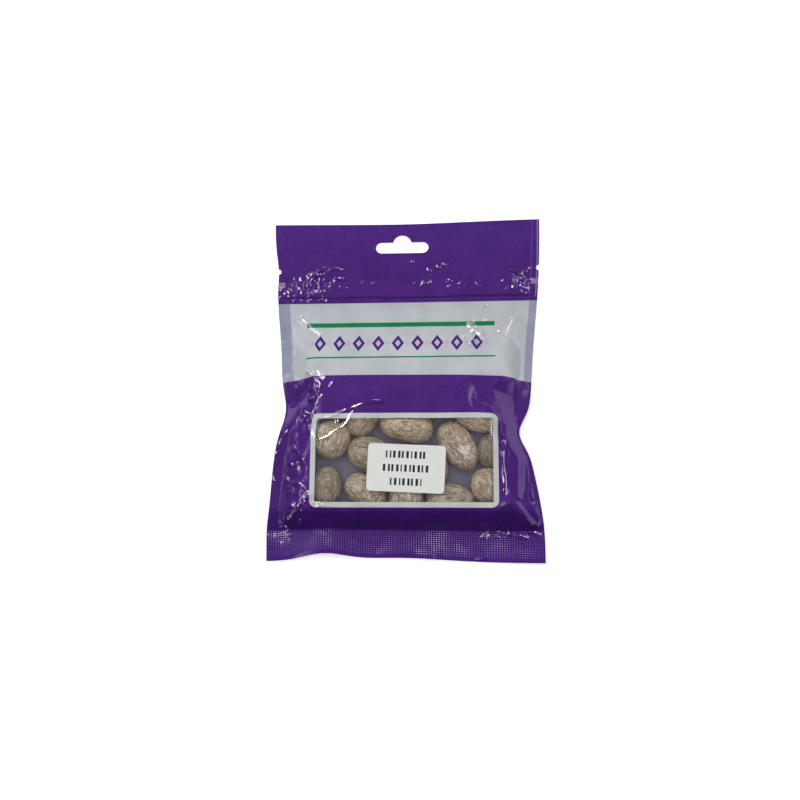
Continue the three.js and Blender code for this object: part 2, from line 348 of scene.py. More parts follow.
@dataclass(frozen=True)
class Pleat:
    """A sharp crease along a polyline: a low roof whose flat flank mirrors a strip lamp.

    far_slope is the dark flank's, end_slope the sinking ends', and foot_slope that past the lit
    flank. most_buried is how much of the crushed film's height the ridge clears. The lamp is the
    one with the least lean whose flank differs from the film by about wanted_change.
    """

    points: tuple[Pair, ...]
    width: float = 1.0
    step: float = 0.4
    lift: float = 0.12
    far_slope: float = 0.7
    end_slope: float = 0.3
    foot_slope: float = 0.8
    sink_share: float = 1.2
    least_fall: float = 0.02
    most_buried: float = 0.4
    most_lean: float = 0.5
    tooth: float = 1.7
    lean_cost: float = 3.0
    wanted_change: float = 0.25

    def line(self) -> tuple[Array, Array]:
        """Evenly spaced places along the polyline, a little rounded, and the ways ahead."""
        knots = np.array(self.points, float)
        run = np.concatenate([[0], np.cumsum(np.hypot(*np.diff(knots, axis=0).T))])
        walk = np.linspace(0, run[-1], max(5, round(run[-1] / self.step)))
        places = np.stack([np.interp(walk, run, knots[:, axis]) for axis in (0, 1)], -1)
        places = evened(places, 1)
        return places, unit(np.gradient(places, axis=0))

    def flank(
        self, places: Array, ahead: Array, under: Array, slopes: Array
    ) -> tuple[Array, Array, Array]:
        """The side that the lit flank is on and how steeply it falls, for the best of the lamps.

        On a lamp the place is taken whose mirror slope has the film's own rise along the crease.

        Args:
            places: Places along the crease.
            ahead: The ways ahead there.
            under: The film's height there.
            slopes: The film's slopes there.

        Returns:
            The way down the flank at each place, its fall, and how much steeper than the film the
            lit flank rises along the crease.
        """
        spots = np.concatenate([places, under[:, None]], -1)
        beside = np.stack([-ahead[:, 1], ahead[:, 0]], -1)
        own = (slopes * ahead).sum(-1)
        best = None
        for lamp in STRIPS:
            first, second = lamp.mirror_slopes(spots)
            span = ((second - first) * ahead).sum(-1)
            missing = own - (first * ahead).sum(-1)
            share = np.clip(missing / np.where(abs(span) < TINY, TINY, span), 0, 1)
            mirror = first + (second - first) * share[:, None]
            lean = (mirror * ahead).sum(-1) - own
            rise = (mirror * beside).sum(-1)
            sign = -np.sign(rise.mean())
            change = np.abs(rise - (slopes * beside).sum(-1)).mean()
            cost = self.lean_cost * np.abs(lean).mean() + abs(change - self.wanted_change)
            if best is None or cost < best[0]:
                best = (cost, beside * sign, -rise * sign, lean)
        return best[1:]

    def fold(self, film: Array, smooth: Array, slopes: Array, shine: Array) -> None:
        """Raises a grid of film points to the roof, in place.

        The lit flank falls with its own slope for the crease's width and steeply after it. The
        other flank is steep, and the roof sinks into the film at its ends. Where the lamp asks for
        another rise along the crease than the film's, the ridge goes in teeth.

        Args:
            film: The film's points, as (..., 3).
            smooth: The film's points before it was crushed.
            slopes: Its slopes then, as (..., 2).
            shine: How glossy the film is, which becomes 1 on the roof.
        """
        places, ahead = self.line()
        reach = 2 * self.width + 1
        low, high = places.min(0) - reach, places.max(0) + reach
        near = ((film[..., :2] > low) & (film[..., :2] < high)).all(-1)
        if not near.any():
            return
        spots, level, rises = film[near], smooth[near][:, 2], slopes[near]
        away = spots[None, :, :2] - places[:, None]
        apart = np.hypot(away[..., 0], away[..., 1])
        closest = apart.argmin(1)
        under, own = evened(level[closest], 3), evened(rises[closest], 3)
        down, fall, lean = self.flank(places, ahead, under, own)
        lean = np.clip(lean, -self.most_lean, self.most_lean)
        teeth = np.arange(len(places)) * self.step % self.tooth - self.tooth / 2
        at = apart.argmin(0)
        offset = spots[:, :2] - places[at]
        side = (offset * down[at]).sum(-1)
        sink = self.sink_share * self.width
        past = np.minimum(np.minimum(at, len(places) - 1 - at) * self.step, sink)
        beyond = np.maximum(np.abs((offset * ahead[at]).sum(-1)) - self.step, 0)
        own_fall = -(own * down).sum(-1)
        buried = np.clip(spots[:, 2] - level, 0, self.most_buried)[closest].max()
        rise = evened(np.maximum(fall - own_fall, self.least_fall), 8) * self.width
        ridge = under + rise + self.lift + buried
        ridge = ridge + lean * teeth + np.abs(lean) * self.tooth / 2
        lit = ridge[at] - fall[at] * side - self.foot_slope * np.maximum(side - self.width, 0)
        far = ridge[at] + (self.far_slope - own_fall[at]) * side
        roof = np.where(side > 0, lit, far) - self.end_slope * (sink - past)
        roof = roof - self.foot_slope * beyond
        raised = (apart.min(0) < reach) & (roof > spots[:, 2])
        spots[:, 2] = np.where(raised, roof, spots[:, 2])
        film[near] = spots
        shine[near] = np.maximum(shine[near], raised)


def folded(film: Array, smooth: Array, pleats: tuple[Pleat, ...], shine: Array) -> None:
    """Folds the pleats into a grid of film points, in place; smooth is the film before crushing."""
    slopes = slopes_of(smooth)
    for pleat in pleats:
        pleat.fold(film, smooth, slopes, shine)


def strewn(
    count: int, centre: Pair, reach: Pair, turn: Pair, length: float, width: float, seed: int,
    lift: float = 0.12,
) -> tuple[Pleat, ...]:
    """Short creases strewn over an oval place.

    Args:
        count: How many.
        centre: The middle of the place.
        reach: Its half width and half length.
        turn: Their mean direction in degrees and its spread.
        length: The longest of them.
        width: Width of the lit flank.
        seed: Of the random numbers.
        lift: How far they stand up.

    Returns:
        The creases.
    """
    rng = np.random.default_rng(seed)
    places = np.array(centre) + rng.normal(size=(count, 2)) * np.array(reach) / 2
    angles = np.radians(turn[0] + turn[1] * rng.normal(size=count))
    halves = length / 2 * rng.uniform(0.35, 1, count)
    steps = np.stack([np.cos(angles), np.sin(angles)], -1) * halves[:, None]
    ends = zip(places - steps, places + steps)
    return tuple(Pleat((tuple(first), tuple(last)), width, lift=lift) for first, last in ends)


@dataclass(frozen=True)
class Facet:
    """A flat face of creased film: its corners in plan, and its slope or the lamp it mirrors."""

    corners: tuple[Pair, ...]
    slope: Pair | Lamp
    firmness: float = 1.0

    def holds(self, x: Array, y: Array) -> Array:
        """Whether each point is inside: a ray to its right crosses the outline oddly often."""
        inside = np.zeros(x.shape, bool)
        for (ax, ay), (bx, by) in zip(self.corners, self.corners[1:] + self.corners[:1]):
            beside = (ay > y) != (by > y)
            crossing = ax + (y - ay) / (by - ay + 1e-9) * (bx - ax)
            inside ^= beside & (x < crossing)
        return inside

    def wanted(self) -> Array:
        """The slope it takes: its own, or the one that mirrors the middle of its lamp."""
        if isinstance(self.slope, Lamp):
            middle = np.array([*np.mean(self.corners, axis=0), 8.0])
            return np.mean(self.slope.mirror_slopes(middle), axis=0)
        return np.array(self.slope)


def faceted(
    film: Lattice, facets: tuple[Facet, ...], hold: Array, loose: float = 0.03, rounds: int = 500
) -> None:
    """Turns the facets of a film to their slopes, in place, with sharp creases round them.

    The change of height has the least sum of firmness * (change of the rise - wanted change)^2
    over all steps between neighbours, plus hold * change^2 over all points. Conjugate gradients
    find it.

    Args:
        film: The film's points.
        facets: The facets.
        hold: How firmly each point keeps its height.
        loose: The firmness of the film between the facets.
        rounds: How many rounds the search takes.
    """
    points = film.values
    firm, rise = [], []
    for axis in (0, 1):
        ahead = np.diff(points, axis=axis)
        rows = np.moveaxis(points, axis, 0)
        middle = np.moveaxis(rows[1:] + rows[:-1], 0, axis) / 2
        firmness, change = np.full(ahead.shape[:2], loose), np.zeros(ahead.shape[:2])
        for facet in facets:
            inside = facet.holds(middle[..., 0], middle[..., 1])
            firmness[inside] = facet.firmness
            change[inside] = ((ahead[..., :2] * facet.wanted()).sum(-1) - ahead[..., 2])[inside]
        firm.append(firmness)
        rise.append(change)

    def spread(steps: list[Array]) -> Array:
        """What the steps' tensions add up to at the points."""
        return -sum(np.diff(steps[axis], axis=axis, prepend=0, append=0) for axis in (0, 1))

    def pull(height: Array) -> Array:
        """The pull on each point at these changes of height."""
        return hold * height + spread([firm[axis] * np.diff(height, axis=axis) for axis in (0, 1)])

    height = np.zeros(points.shape[:2])
    left = spread([firm[axis] * rise[axis] for axis in (0, 1)])
    way = left.copy()
    size = (left**2).sum()
    for _ in range(rounds):
        reply = pull(way)
        share = size / (way * reply).sum()
        height += share * way
        left -= share * reply
        after = (left**2).sum()
        way = left + after / size * way
        size = after
    points[..., 2] += height


# --- The pouch's own form ---


@dataclass(frozen=True)
class Hill:
    """A bell curve along an edge or a direction: its place, height and spread."""

    at: float
    height: float
    spread: float

    def rise(self, along: Array) -> Array:
        """The curve's value."""
        return self.height * bell(along, self.at, self.spread)


def inset(pulls: tuple[Hill, ...], along: Array) -> Array:
    """How far the filling draws an edge in: the sum of its pulls."""
    return sum(pull.rise(along) for pull in pulls)


@dataclass(frozen=True)
class Outline:
    """The flat pouch's rectangle and how its edges are drawn in once it is filled."""

    half_width: float = 72.5
    half_length: float = 91.7
    left_seal: float = -66.0
    right_seal: float = 67.0
    bottom_seal: float = -75.5
    zip_foot: float = 47.0
    slack_left: float = -47.0
    slack_right: float = 48.5
    end_reach: float = 25.0
    left: tuple[Hill, ...] = (Hill(0, 6.5, 52), Hill(-13.4, 3.4, 12.4), Hill(65, 1.4, 11.5))
    right: tuple[Hill, ...] = (Hill(-34, 4.5, 27), Hill(-25.3, 5.1, 9.35), Hill(3, 5.2, 45))
    bottom: tuple[Hill, ...] = (Hill(-41.6, 3.8, 15.5), Hill(-2.6, 2.2, 33))
    top: tuple[Hill, ...] = (Hill(-1.8, 1.2, 49.5),)

    def left_edge(self, v: Array) -> Array:
        """X of the left edge."""
        return inset(self.left, v) - self.half_width

    def right_edge(self, v: Array) -> Array:
        """X of the right edge."""
        return self.half_width - inset(self.right, v)

    def side_seals(self, u: Array, reach: float = 2.0) -> Array:
        """0 between the side seals and 1 on them, eased over the first part of each."""
        left = ease(self.left_seal, self.left_seal - reach, u)
        return left + ease(self.right_seal, self.right_seal + reach, u)

    def place(self, u: Array, v: Array) -> tuple[Array, Array]:
        """Where a film point lies in plan.

        Between the slack columns x is u. From there to the seals the film is squeezed by the
        edge's inset, and the seals keep their width. Near the bottom and the top the ends' insets
        move y.

        Args:
            u: Flat place across.
            v: Flat place along.

        Returns:
            x and y.
        """
        to_left = np.clip((self.slack_left - u) / (self.slack_left - self.left_seal), 0, 1)
        to_right = np.clip((u - self.slack_right) / (self.right_seal - self.slack_right), 0, 1)
        x = u + inset(self.left, v) * to_left - inset(self.right, v) * to_right
        at_bottom = 1 - ease(-self.half_length, -self.half_length + self.end_reach, v)
        at_top = ease(self.half_length - self.end_reach, self.half_length, v)
        return x, v + inset(self.bottom, x) * at_bottom - inset(self.top, x) * at_top


@dataclass(frozen=True)
class Nutmeg:
    """One nutmeg of the layer: its centre, length, width and the turn of its long axis."""

    x: float
    y: float
    length: float
    width: float
    turn: float
    flattening: float = 0.97
    tone: float = 0.5
    # How much dust and painted glint the nutmeg has; it also deepens its furrows.
    dust_and_glint: float = 0.15
    dust_and_glint_end: float = 0.0
    nub: float = 0.0
    bed: float = 0.35
    bluntness: float = 0.42

    @property
    def half_height(self) -> float:
        """Half of its height as it lies."""
        return self.width / 2 * self.flattening

    @property
    def centre_height(self) -> float:
        """Height of its centre above the table."""
        return self.bed + self.half_height

    def crest(self, x: Array, y: Array, spread: float) -> Array:
        """A bell-shaped crest over the nutmeg, 1 at its centre."""
        along, beside = turned(x, y, (self.x, self.y), self.turn)
        return bell(along, 0, self.length * spread) * bell(beside, 0, self.width * spread)

    def lifted(self, points: Array, gap: float) -> None:
        """Raises the points (..., 3) that are under the nutmeg's upper surface, in place.

        The surface is blunter than an ellipsoid: height = centre + half height * (1 - along^2 -
        beside^2)^bluntness, with both distances as shares of the half axes, which are a little
        longer.

        Args:
            points: The points to lift.
            gap: The film's clearance.
        """
        rim = 4 * gap
        reach, side = self.length / 2 + rim, self.width / 2 + rim
        near = (np.abs(points[..., 0] - self.x) < reach) & (np.abs(points[..., 1] - self.y) < reach)
        found = points[near]
        along, beside = turned(found[:, 0], found[:, 1], (self.x, self.y), self.turn)
        share = 1 - (along / reach) ** 2 - (beside / side) ** 2
        dome = np.clip(share, 0, 1) ** self.bluntness
        top = self.centre_height + (self.half_height + gap) * dome
        found[:, 2] = np.where(share > 0, np.maximum(found[:, 2], top), found[:, 2])
        points[near] = found


LAYER = (
    Nutmeg(-37.5, -28.7, 20.4, 19.2, 70, flattening=0.88, tone=0.79, dust_and_glint=0.2),
    Nutmeg(-20.7, -16.3, 23.2, 16.2, 60, tone=0.61, dust_and_glint=0.4),
    Nutmeg(1.4, -21.8, 28.2, 17.2, -12, tone=0.91, dust_and_glint=0.1),
    Nutmeg(-16.6, -36.9, 25.2, 18.2, -17, flattening=0.91, tone=0.37),
    Nutmeg(27.9, -31.9, 27.4, 17.2, 122, tone=0.66, dust_and_glint=1.0, dust_and_glint_end=-1.0, nub=0.9),
    Nutmeg(37.0, -16.3, 24.0, 16.2, -26, tone=1.0, dust_and_glint=1.0),
    Nutmeg(45.4, -35.0, 17.6, 15.0, 85, tone=0.05),
    Nutmeg(-39.7, -53.2, 21.2, 15.4, 88, tone=0.24, dust_and_glint=0.4),
    Nutmeg(-19.3, -56.1, 23.8, 15.8, -35, tone=0.6, dust_and_glint=0.9, dust_and_glint_end=0.4),
    Nutmeg(14.2, -44.2, 18.6, 15.6, 8, tone=0.48),
    Nutmeg(1.6, -60.2, 20.0, 18.0, 90, flattening=0.91, tone=0.62, dust_and_glint=0.8),
    Nutmeg(24.1, -60.3, 25.0, 17.4, -8, tone=0.39, dust_and_glint=0.4),
    Nutmeg(42.9, -52.9, 18.4, 16.6, 100, tone=0.69, dust_and_glint=0.6),
)


@dataclass(frozen=True)
class Fold:
    """A crease that stands up from the film along a polyline, with straight flanks."""

    points: tuple[Pair, ...]
    height: float
    width: float

    def rise(self, x: Array, y: Array) -> Array:
        """height * (1 - distance / width)^1.3 beside the line, fading out at both ends."""
        nearest = np.full(x.shape, np.inf)
        run = np.zeros(x.shape)
        walked = 0.0
        for (ax, ay), (bx, by) in zip(self.points, self.points[1:]):
            dx, dy = bx - ax, by - ay
            length = math.hypot(dx, dy)
            share = np.clip(((x - ax) * dx + (y - ay) * dy) / length**2, 0, 1)
            away = np.hypot(x - ax - share * dx, y - ay - share * dy)
            run = np.where(away < nearest, walked + share * length, run)
            nearest = np.minimum(nearest, away)
            walked += length
        taper = np.sin(np.pi * np.clip(run / walked, 0.06, 0.94)) ** 0.5
        return self.height * taper * np.clip(1 - nearest / self.width, 0, 1) ** 1.3


FOLDS = (
    Fold(((-60, -11), (-50.3, -3.4), (-43, -1.0)), 1.2, 4.5),
    Fold(((-53, -12.6), (-47, -16)), 0.8, 2.4),
    Fold(((-49.5, -41), (-56.2, -33.8), (-59, -21)), 1.0, 3.2),
    Fold(((-50, -57.5), (-62, -71)), 1.2, 3.4),
    Fold(((49.5, -58.5), (62, -72.5)), 1.2, 4.2),
    Fold(((-53, -75.2), (-37.5, -71), (-24, -75)), 1.1, 2.6),
    Fold(((27, -75.2), (35.4, -72), (43, -70.6)), 1.1, 2.6),
)

FACETS = (
    Facet(
        (
            *((45.6, -2.7), (56.5, -6.9), (57.9, -19), (57.4, -21.1)),
            *((52.6, -30.1), (51.5, -19.9), (49.2, -11.9)),
        ),
        (-0.46, 0.05),
    ),
    Facet(((45.6, -2.7), (53.1, 1.9), (57.8, 2.1), (56.7, -6.9)), (-0.25, 0.5), 0.5),
    Facet(
        ((52.6, -30.1), (57.6, -21.1), (60.1, -30.9), (63.7, -36.5), (59.9, -40.3), (54.3, -32.5)),
        BOXES[0],
    ),
    Facet(((54.2, -33), (58.9, -39.4), (58.1, -58.8), (55.1, -49.8)), (-1.4, 0.1), 0.4),
    Facet(((58.9, -39.4), (62.1, -37.7), (62.3, -54.6), (60.2, -60.3), (58.1, -58.3)), BOXES[0]),
    Facet(((62.1, -37.7), (64.2, -37.6), (64.4, -54.6), (62.3, -54.6)), (-1.2, 0.1), 0.3),
    Facet(((64.2, -37.5), (66.6, -49.4), (68, -59.6), (65.4, -58.7), (64.1, -44.3)), BOXES[0], 0.3),
    Facet(((56.4, -60.9), (59.1, -60.3), (67.7, -70.9), (65.6, -72.9)), BOXES[0]),
    Facet(
        ((49.2, -64.2), (55.9, -61.5), (65.1, -72.9), (55.5, -75.5), (44.2, -72.1)),
        (-0.2, 1.3),
        0.4,
    ),
    Facet(
        ((36, 5), (45, 5), (45.4, -2.9), (49, -11.9), (51.3, -19.9), (48.6, -18.6), (38, -10)),
        (-0.1, -0.05),
        0.5,
    ),
    Facet(
        (
            *((57.2, -7), (58.2, 2), (67, 2), (65.2, -9)),
            *((62.2, -18), (61.2, -24), (58.8, -22), (58.2, -19.5)),
        ),
        (-0.1, 0.15),
        0.65,
    ),
    Facet(((-56.6, -9.9), (-49.7, -4.3), (-47.8, -6.0), (-51.8, -12.4)), BOXES[1]),
    Facet(((-56.6, -9.9), (-55, -12.2), (-60.1, -20.4), (-64.1, -24), (-63.7, -18.1)), BOXES[1]),
    Facet(((-53.3, -11.5), (-51.2, -12.2), (-49.2, -24.4), (-50.7, -24.8)), BOXES[1]),
    Facet(((-63.5, 1.1), (-51, 0.5), (-56.3, -8.3), (-62, -8.2)), (-0.05, 0.3), 0.8),
    Facet(((-57.3, -34.2), (-55.5, -34.3), (-52.2, -47), (-54, -47.4)), BOXES[1], 0.6),
    Facet(
        (
            *((-60.2, -25), (-63.4, -45), (-64.8, -60), (-65.4, -69)),
            *((-62.4, -69), (-61.6, -60), (-60.2, -45), (-57, -26)),
        ),
        (0.9, 0),
        0.6,
    ),
)

PLEATS = (
    Pleat(
        (
            *((-9, -11), (-14.2, -10.4), (-19.3, -11.4), (-24.5, -13.4)),
            *((-29.6, -15), (-34.8, -17.2), (-40, -19)),
        )
    ),
    Pleat(
        (
            *((-23.9, -14), (-26, -17.6), (-28.5, -21.7), (-31.5, -24.3)),
            *((-34.1, -25.3), (-37.7, -28.4), (-42, -30)),
        ),
        1.3,
    ),
    Pleat(((-43, -30.2), (-46, -26.8), (-48.5, -21)), 0.9),
    Pleat(((-31, -19.6), (-34.6, -21.4)), 1.6),
    Pleat(((-48.8, -58.9), (-54.5, -64.3), (-59.7, -69.2)), 1.2, lift=0.3),
    Pleat(((-57, -32.5), (-52.5, -38.5), (-49.5, -42)), 0.7),
    Pleat(((-60.7, -23.1), (-66.1, -31.6)), 0.7),
    Pleat(((51.9, -30.3), (50.8, -37.6), (50.9, -45)), 0.5),
    Pleat(((50.9, -45), (51.4, -50.5), (51.3, -57.2)), 1.0),
    Pleat(((51.5, -57.4), (48.7, -57.8)), 0.8),
    Pleat(((-51, -13.9), (-46.1, -16.3)), 0.8),
    Pleat(((-56.1, -32.8), (-53.1, -37.7), (-49.5, -40.5)), 0.8),
    Pleat(((-68.8, -36.3), (-65, -35)), 1.4),
    Pleat(((-69.3, -45.4), (-66.6, -50.9)), 0.9),
    Pleat(((-59.6, -55.5), (-55.7, -50.9)), 0.9),
    Pleat(((-52.8, -52.4), (-48.2, -55.1)), 0.9),
    Pleat(((-56.4, 39.3), (-50.3, 32.1), (-44, 27.6)), 0.5),
    Pleat(((57.2, 36.5), (54.6, 31.2), (52.4, 25.8)), 0.6),
    Pleat(((-50.1, 6.4), (-45.8, 2.6), (-43.1, -0.1), (-43.5, -3.8)), 0.6),
    Pleat(((-34.7, 2.5), (-37.7, -2.2)), 0.7),
    Pleat(((-41, -6), (-44.8, -10.4), (-44.9, -13.3)), 0.7),
    Pleat(((-48.6, -54.8), (-44.9, -59.8)), 2.0, lift=0.3),
    Pleat(((-44.8, -61.5), (-39.6, -63.8)), 1.8, lift=0.3),
    Pleat(((37.9, 29.4), (41.5, 26.6), (44.6, 27.4)), 2.0, lift=0.3),
    Pleat(((32.8, 24.8), (37.2, 20.2)), 2.2, lift=0.3),
    Pleat(((32.6, 34.4), (35.4, 31.4), (35.0, 27.4)), 1.9, lift=0.3),
    *strewn(9, (-56, -52), (7, 22), (60, 40), 3.0, 0.8, 501),
    *strewn(6, (-52, -15), (6, 10), (60, 50), 2.4, 0.8, 511),
    *strewn(24, (-66, 26), (2, 28), (80, 40), 1.8, 0.7, 521),
    *strewn(9, (44, 29), (7, 9), (60, 50), 4.0, 1.6, 531, 0.25),
    *strewn(12, (36, 20), (6, 7), (80, 40), 4.4, 1.7, 611, 0.25),
)

CRUSHED = (
    Crush(-57, -43, 12, 26, Facets(6.5, 0.5, 101, 1.5, 65)),
    Crush(58, -34, 11, 42, Facets(6.5, 0.2, 111, 2.6, 90)),
    Crush(-56, -47, 7, 20, Facets(2.6, 0.2, 121), 0.4),
    Crush(-64, -42, 5, 30, Facets(5, 0.35, 241, 1.6, 75)),
    Crush(-45, 2, 9, 6, Facets(3.0, 0.17, 131), 0.5),
    Crush(-59, 22, 8, 28, Facets(4.0, 0.3, 141)),
    Crush(60.5, 22, 7, 26, Facets(4.0, 0.25, 151)),
    Crush(36, 27, 13, 9, Facets(3.6, 0.18, 161, 1.5, 60)),
    Crush(-44, 32, 16, 14, Facets(8, 0.25, 171)),
    Crush(0, -74.5, 66, 3.2, Facets(2.6, 0.22, 181), 0.5),
    Crush(38, -74.5, 22, 4, Facets(2.2, 0.25, 191), 1.0),
    Crush(0, -40, 52, 26, Facets(3.2, 0.08, 201)),
    Crush(-30, -20, 18, 12, Facets(4.2, 0.2, 211)),
    Crush(0, -5, 60, 9, Facets(11, 0.2, 221)),
    Crush(0, 26, 60, 20, Facets(7, 0.12, 231, 1.8, 60)),
)


@dataclass(frozen=True)
class StickerPlace:
    """Where the sticker lies, and its size."""

    x: float = 2.0
    y: float = -44.5
    width: float = 39.6
    height: float = 24.2
    corner: float = 2.0
    turn: float = -2.5
    bed: float = 17.2

    def past(self, x: Array, y: Array, margin: float) -> Array:
        """How far a point lies past the sticker's edge and that margin, never below 0."""
        along, beside = turned(x, y, (self.x, self.y), self.turn)
        over = np.maximum(np.abs(along) - self.width / 2 - margin, 0)
        up = np.maximum(np.abs(beside) - self.height / 2 - margin, 0)
        return np.hypot(over, up)


STICKER = StickerPlace()


@dataclass(frozen=True)
class Pillow:
    """Heights of the filled pouch: welded seams that ride up beside a pillow of nutmegs."""

    outline: Outline = Outline()
    film: float = 0.2
    sag: float = 16.3
    crest: float = 1.4
    crest_spread: float = 0.5
    filled_to: float = -8.0
    left_shoulder: float = 15.0
    right_shoulder: float = 10.0
    bottom_shoulder: float = 12.0
    seal_width: float = 5.5
    side_start: float = 1.35
    back_spread: float = 2.4
    side_lift: Hill = Hill(-25, 4.5, 34)
    bottom_lift: Hill = Hill(-75, 2.6, 9)
    corner_curl: tuple[Hill, Hill] = (Hill(-40, 3.2, 13), Hill(-86, 1, 13))
    foot: Hill = Hill(-88, 0.35, 9)
    wave_length: float = 9.0

    def seam(self, u: Array, x: Array, y: Array) -> Array:
        """Middle height of the welded films, which the pillow lifts at sides, foot and a corner."""
        across = np.abs(u) / self.outline.half_width
        side = self.side_lift.rise(y) * ease(0.5, 1, across)
        curl = self.corner_curl[0].rise(x) * self.corner_curl[1].rise(y)
        waves = self.foot.height * np.sin(x / self.wave_length + 1)
        waves = waves * bell(y, self.foot.at, self.foot.spread)
        level = 0.45 + 0.5 * across
        return level + side + self.bottom_lift.rise(y) + curl + waves + self.foot.rise(y)

    def fullness(self, x: Array, y: Array) -> Array:
        """0 on the seals and the header, 1 on the pillow: quarter waves, eased to the zip.

        The side waves are raised to a power, which makes them start level.
        """
        form = self.outline
        past_left = x - form.left_edge(y) - self.seal_width
        past_right = form.right_edge(y) - self.seal_width - x
        left = quarter(past_left / (self.left_shoulder + 1)) ** self.side_start
        right = quarter(past_right / (self.right_shoulder + 1)) ** self.side_start
        bottom = quarter((y - form.bottom_seal) / self.bottom_shoulder)
        return left * right * bottom * (1 - ease(self.filled_to, form.zip_foot, y))

    def front(self, u: Array, v: Array) -> Array:
        """Points of the front film before it settles, as (..., 3).

        The height goes from the seam to the pillow's top by fullness, plus the folds where it is
        full enough. The top sags between the nutmegs' crests and is level under the sticker.
        """
        x, y = self.outline.place(u, v)
        seam = self.seam(u, x, y) + self.film
        hollow = np.ones(x.shape)
        for nut in LAYER:
            hollow = hollow * (1 - nut.crest(x, y, self.crest_spread))
        draped = self.sag + self.crest * (1 - hollow)
        bed = 1 - ease(0, 5, STICKER.past(x, y, 4))
        top = draped + (STICKER.bed - draped) * bed
        full = self.fullness(x, y)
        folds = sum(fold.rise(x, y) for fold in FOLDS)
        return np.stack([x, y, seam + (top - seam) * full + folds * ease(0, 0.25, full)], -1)

    def back(self, u: Array, v: Array) -> Array:
        """Points of the back film: on the seam outside, on the table under the pillow."""
        x, y = self.outline.place(u, v)
        down = 1 - np.clip(self.fullness(x, y) * self.back_spread, 0, 1)
        seam = self.seam(u, x, y) - self.film
        return np.stack([x, y, np.maximum(seam * down, 0.12)], -1)


# --- Film that settles into its folds ---


Form = Callable[[Array, Array], Array]
Slack = Callable[[Array, Array, Array, Array], tuple[Array, Array]]
Pinned = Callable[[Array, Array, Array, Array], Array]
Clear = Callable[[Array], None]


@dataclass(frozen=True)
class Pass:
    """One pass of settling: cell size, rounds, bending, and the ripples' height and width."""

    cell: float
    rounds: int
    bending: float
    ripple: float
    ripple_width: float


class Film:
    """A film on a grid of points that keeps its lengths while it settles on what is under it.

    Each round moves neighbouring points along, up and diagonally back to their distances in the
    flat film, smooths the film a little, as bending does, draws it softly towards its form and
    keeps it clear of the nutmegs and the table. Where the film is longer than its form it has to
    buckle, and that makes the wrinkles.
    """

    def __init__(self, cell: float, form: Form, slack: Slack, pinned: Pinned) -> None:
        """Lays the film out on its form.

        Args:
            cell: Size of a grid cell.
            form: The points of the film's form, from u, v.
            slack: Its spare length across and along, as shares, from u, v, x, y.
            pinned: 1 where it is welded or glued and can't move, from u, v, x, y.
        """
        edge = Outline()
        breadth, depth = 2 * edge.half_width, edge.zip_foot - edge.bottom_seal
        self.u = np.linspace(-edge.half_width, edge.half_width, round(breadth / cell) + 1)
        self.v = np.linspace(edge.bottom_seal, edge.zip_foot, round(depth / cell) + 1)
        u, v = np.meshgrid(self.u, self.v)
        self.form = form(u, v)
        self.points = self.form.copy()
        x, y = self.form[..., 0], self.form[..., 1]
        self.free = 1 - pinned(u, v, x, y)
        self.free[[0, -1]] = 0
        across, along = slack(u, v, x, y)
        both = 1 + (across + along) / 2
        self.across = self.gap(self.form[:, 1:], self.form[:, :-1]) * (1 + across[:, 1:])
        self.along = self.gap(self.form[1:], self.form[:-1]) * (1 + along[1:])
        self.up = self.gap(self.form[1:, 1:], self.form[:-1, :-1]) * both[1:, 1:]
        self.down = self.gap(self.form[1:, :-1], self.form[:-1, 1:]) * both[1:, 1:]

    @staticmethod
    def gap(a: Array, b: Array) -> Array:
        """Distance between points."""
        return np.sqrt(((a - b) ** 2).sum(-1)) + 1e-9

    def restore(self, a: tuple, b: tuple, length: Array, stiffness: float) -> None:
        """Moves the points at a and at b towards their length apart, shared by freedom."""
        pa, pb, fa, fb = self.points[a], self.points[b], self.free[a], self.free[b]
        step = pb - pa
        now = np.sqrt((step**2).sum(-1)) + 1e-9
        share = stiffness * (now - length) / now / np.maximum(fa + fb, 1e-6)
        step *= share[..., None]
        pa += fa[..., None] * step
        pb -= fb[..., None] * step

    def round(self, bending: float, hold: float, shear: float = 0.5) -> None:
        """One round of settling, by chequered halves so that no point is moved twice at once."""
        rows, columns = self.free.shape
        for odd in (0, 1):
            pairs = (columns - odd) // 2 * 2
            a, b = slice(odd, odd + pairs - 1, 2), slice(odd + 1, odd + pairs, 2)
            self.restore(np.s_[:, a], np.s_[:, b], self.across[:, a], 1)
            pairs = (rows - odd) // 2 * 2
            a, b = slice(odd, odd + pairs - 1, 2), slice(odd + 1, odd + pairs, 2)
            self.restore(np.s_[a, :], np.s_[b, :], self.along[a], 1)
            self.restore(np.s_[a, :-1], np.s_[b, 1:], self.up[a], shear)
            self.restore(np.s_[a, 1:], np.s_[b, :-1], self.down[a], shear)
        p = self.points
        mean = (p[:-2, 1:-1] + p[2:, 1:-1] + p[1:-1, :-2] + p[1:-1, 2:]) / 4
        inner = self.free[1:-1, 1:-1, None]
        p[1:-1, 1:-1] += inner * bending * (mean - p[1:-1, 1:-1])
        p += self.free[..., None] * hold * (self.form - p)

    def settle(self, rounds: int, bending: float, hold: float, clear: Clear) -> None:
        """Runs the rounds; clear(points) after each keeps the film off what it lies on."""
        for _ in range(rounds):
            self.round(bending, hold)
            kept = self.points.copy()
            clear(kept)
            self.points = np.where(self.free[..., None] > 0, kept, self.points)

    def lattice(self) -> Lattice:
        """The film as values to read between its lines."""
        step = (self.u[1] - self.u[0], self.v[1] - self.v[0])
        return Lattice((self.u[0], self.v[0]), step, self.points)


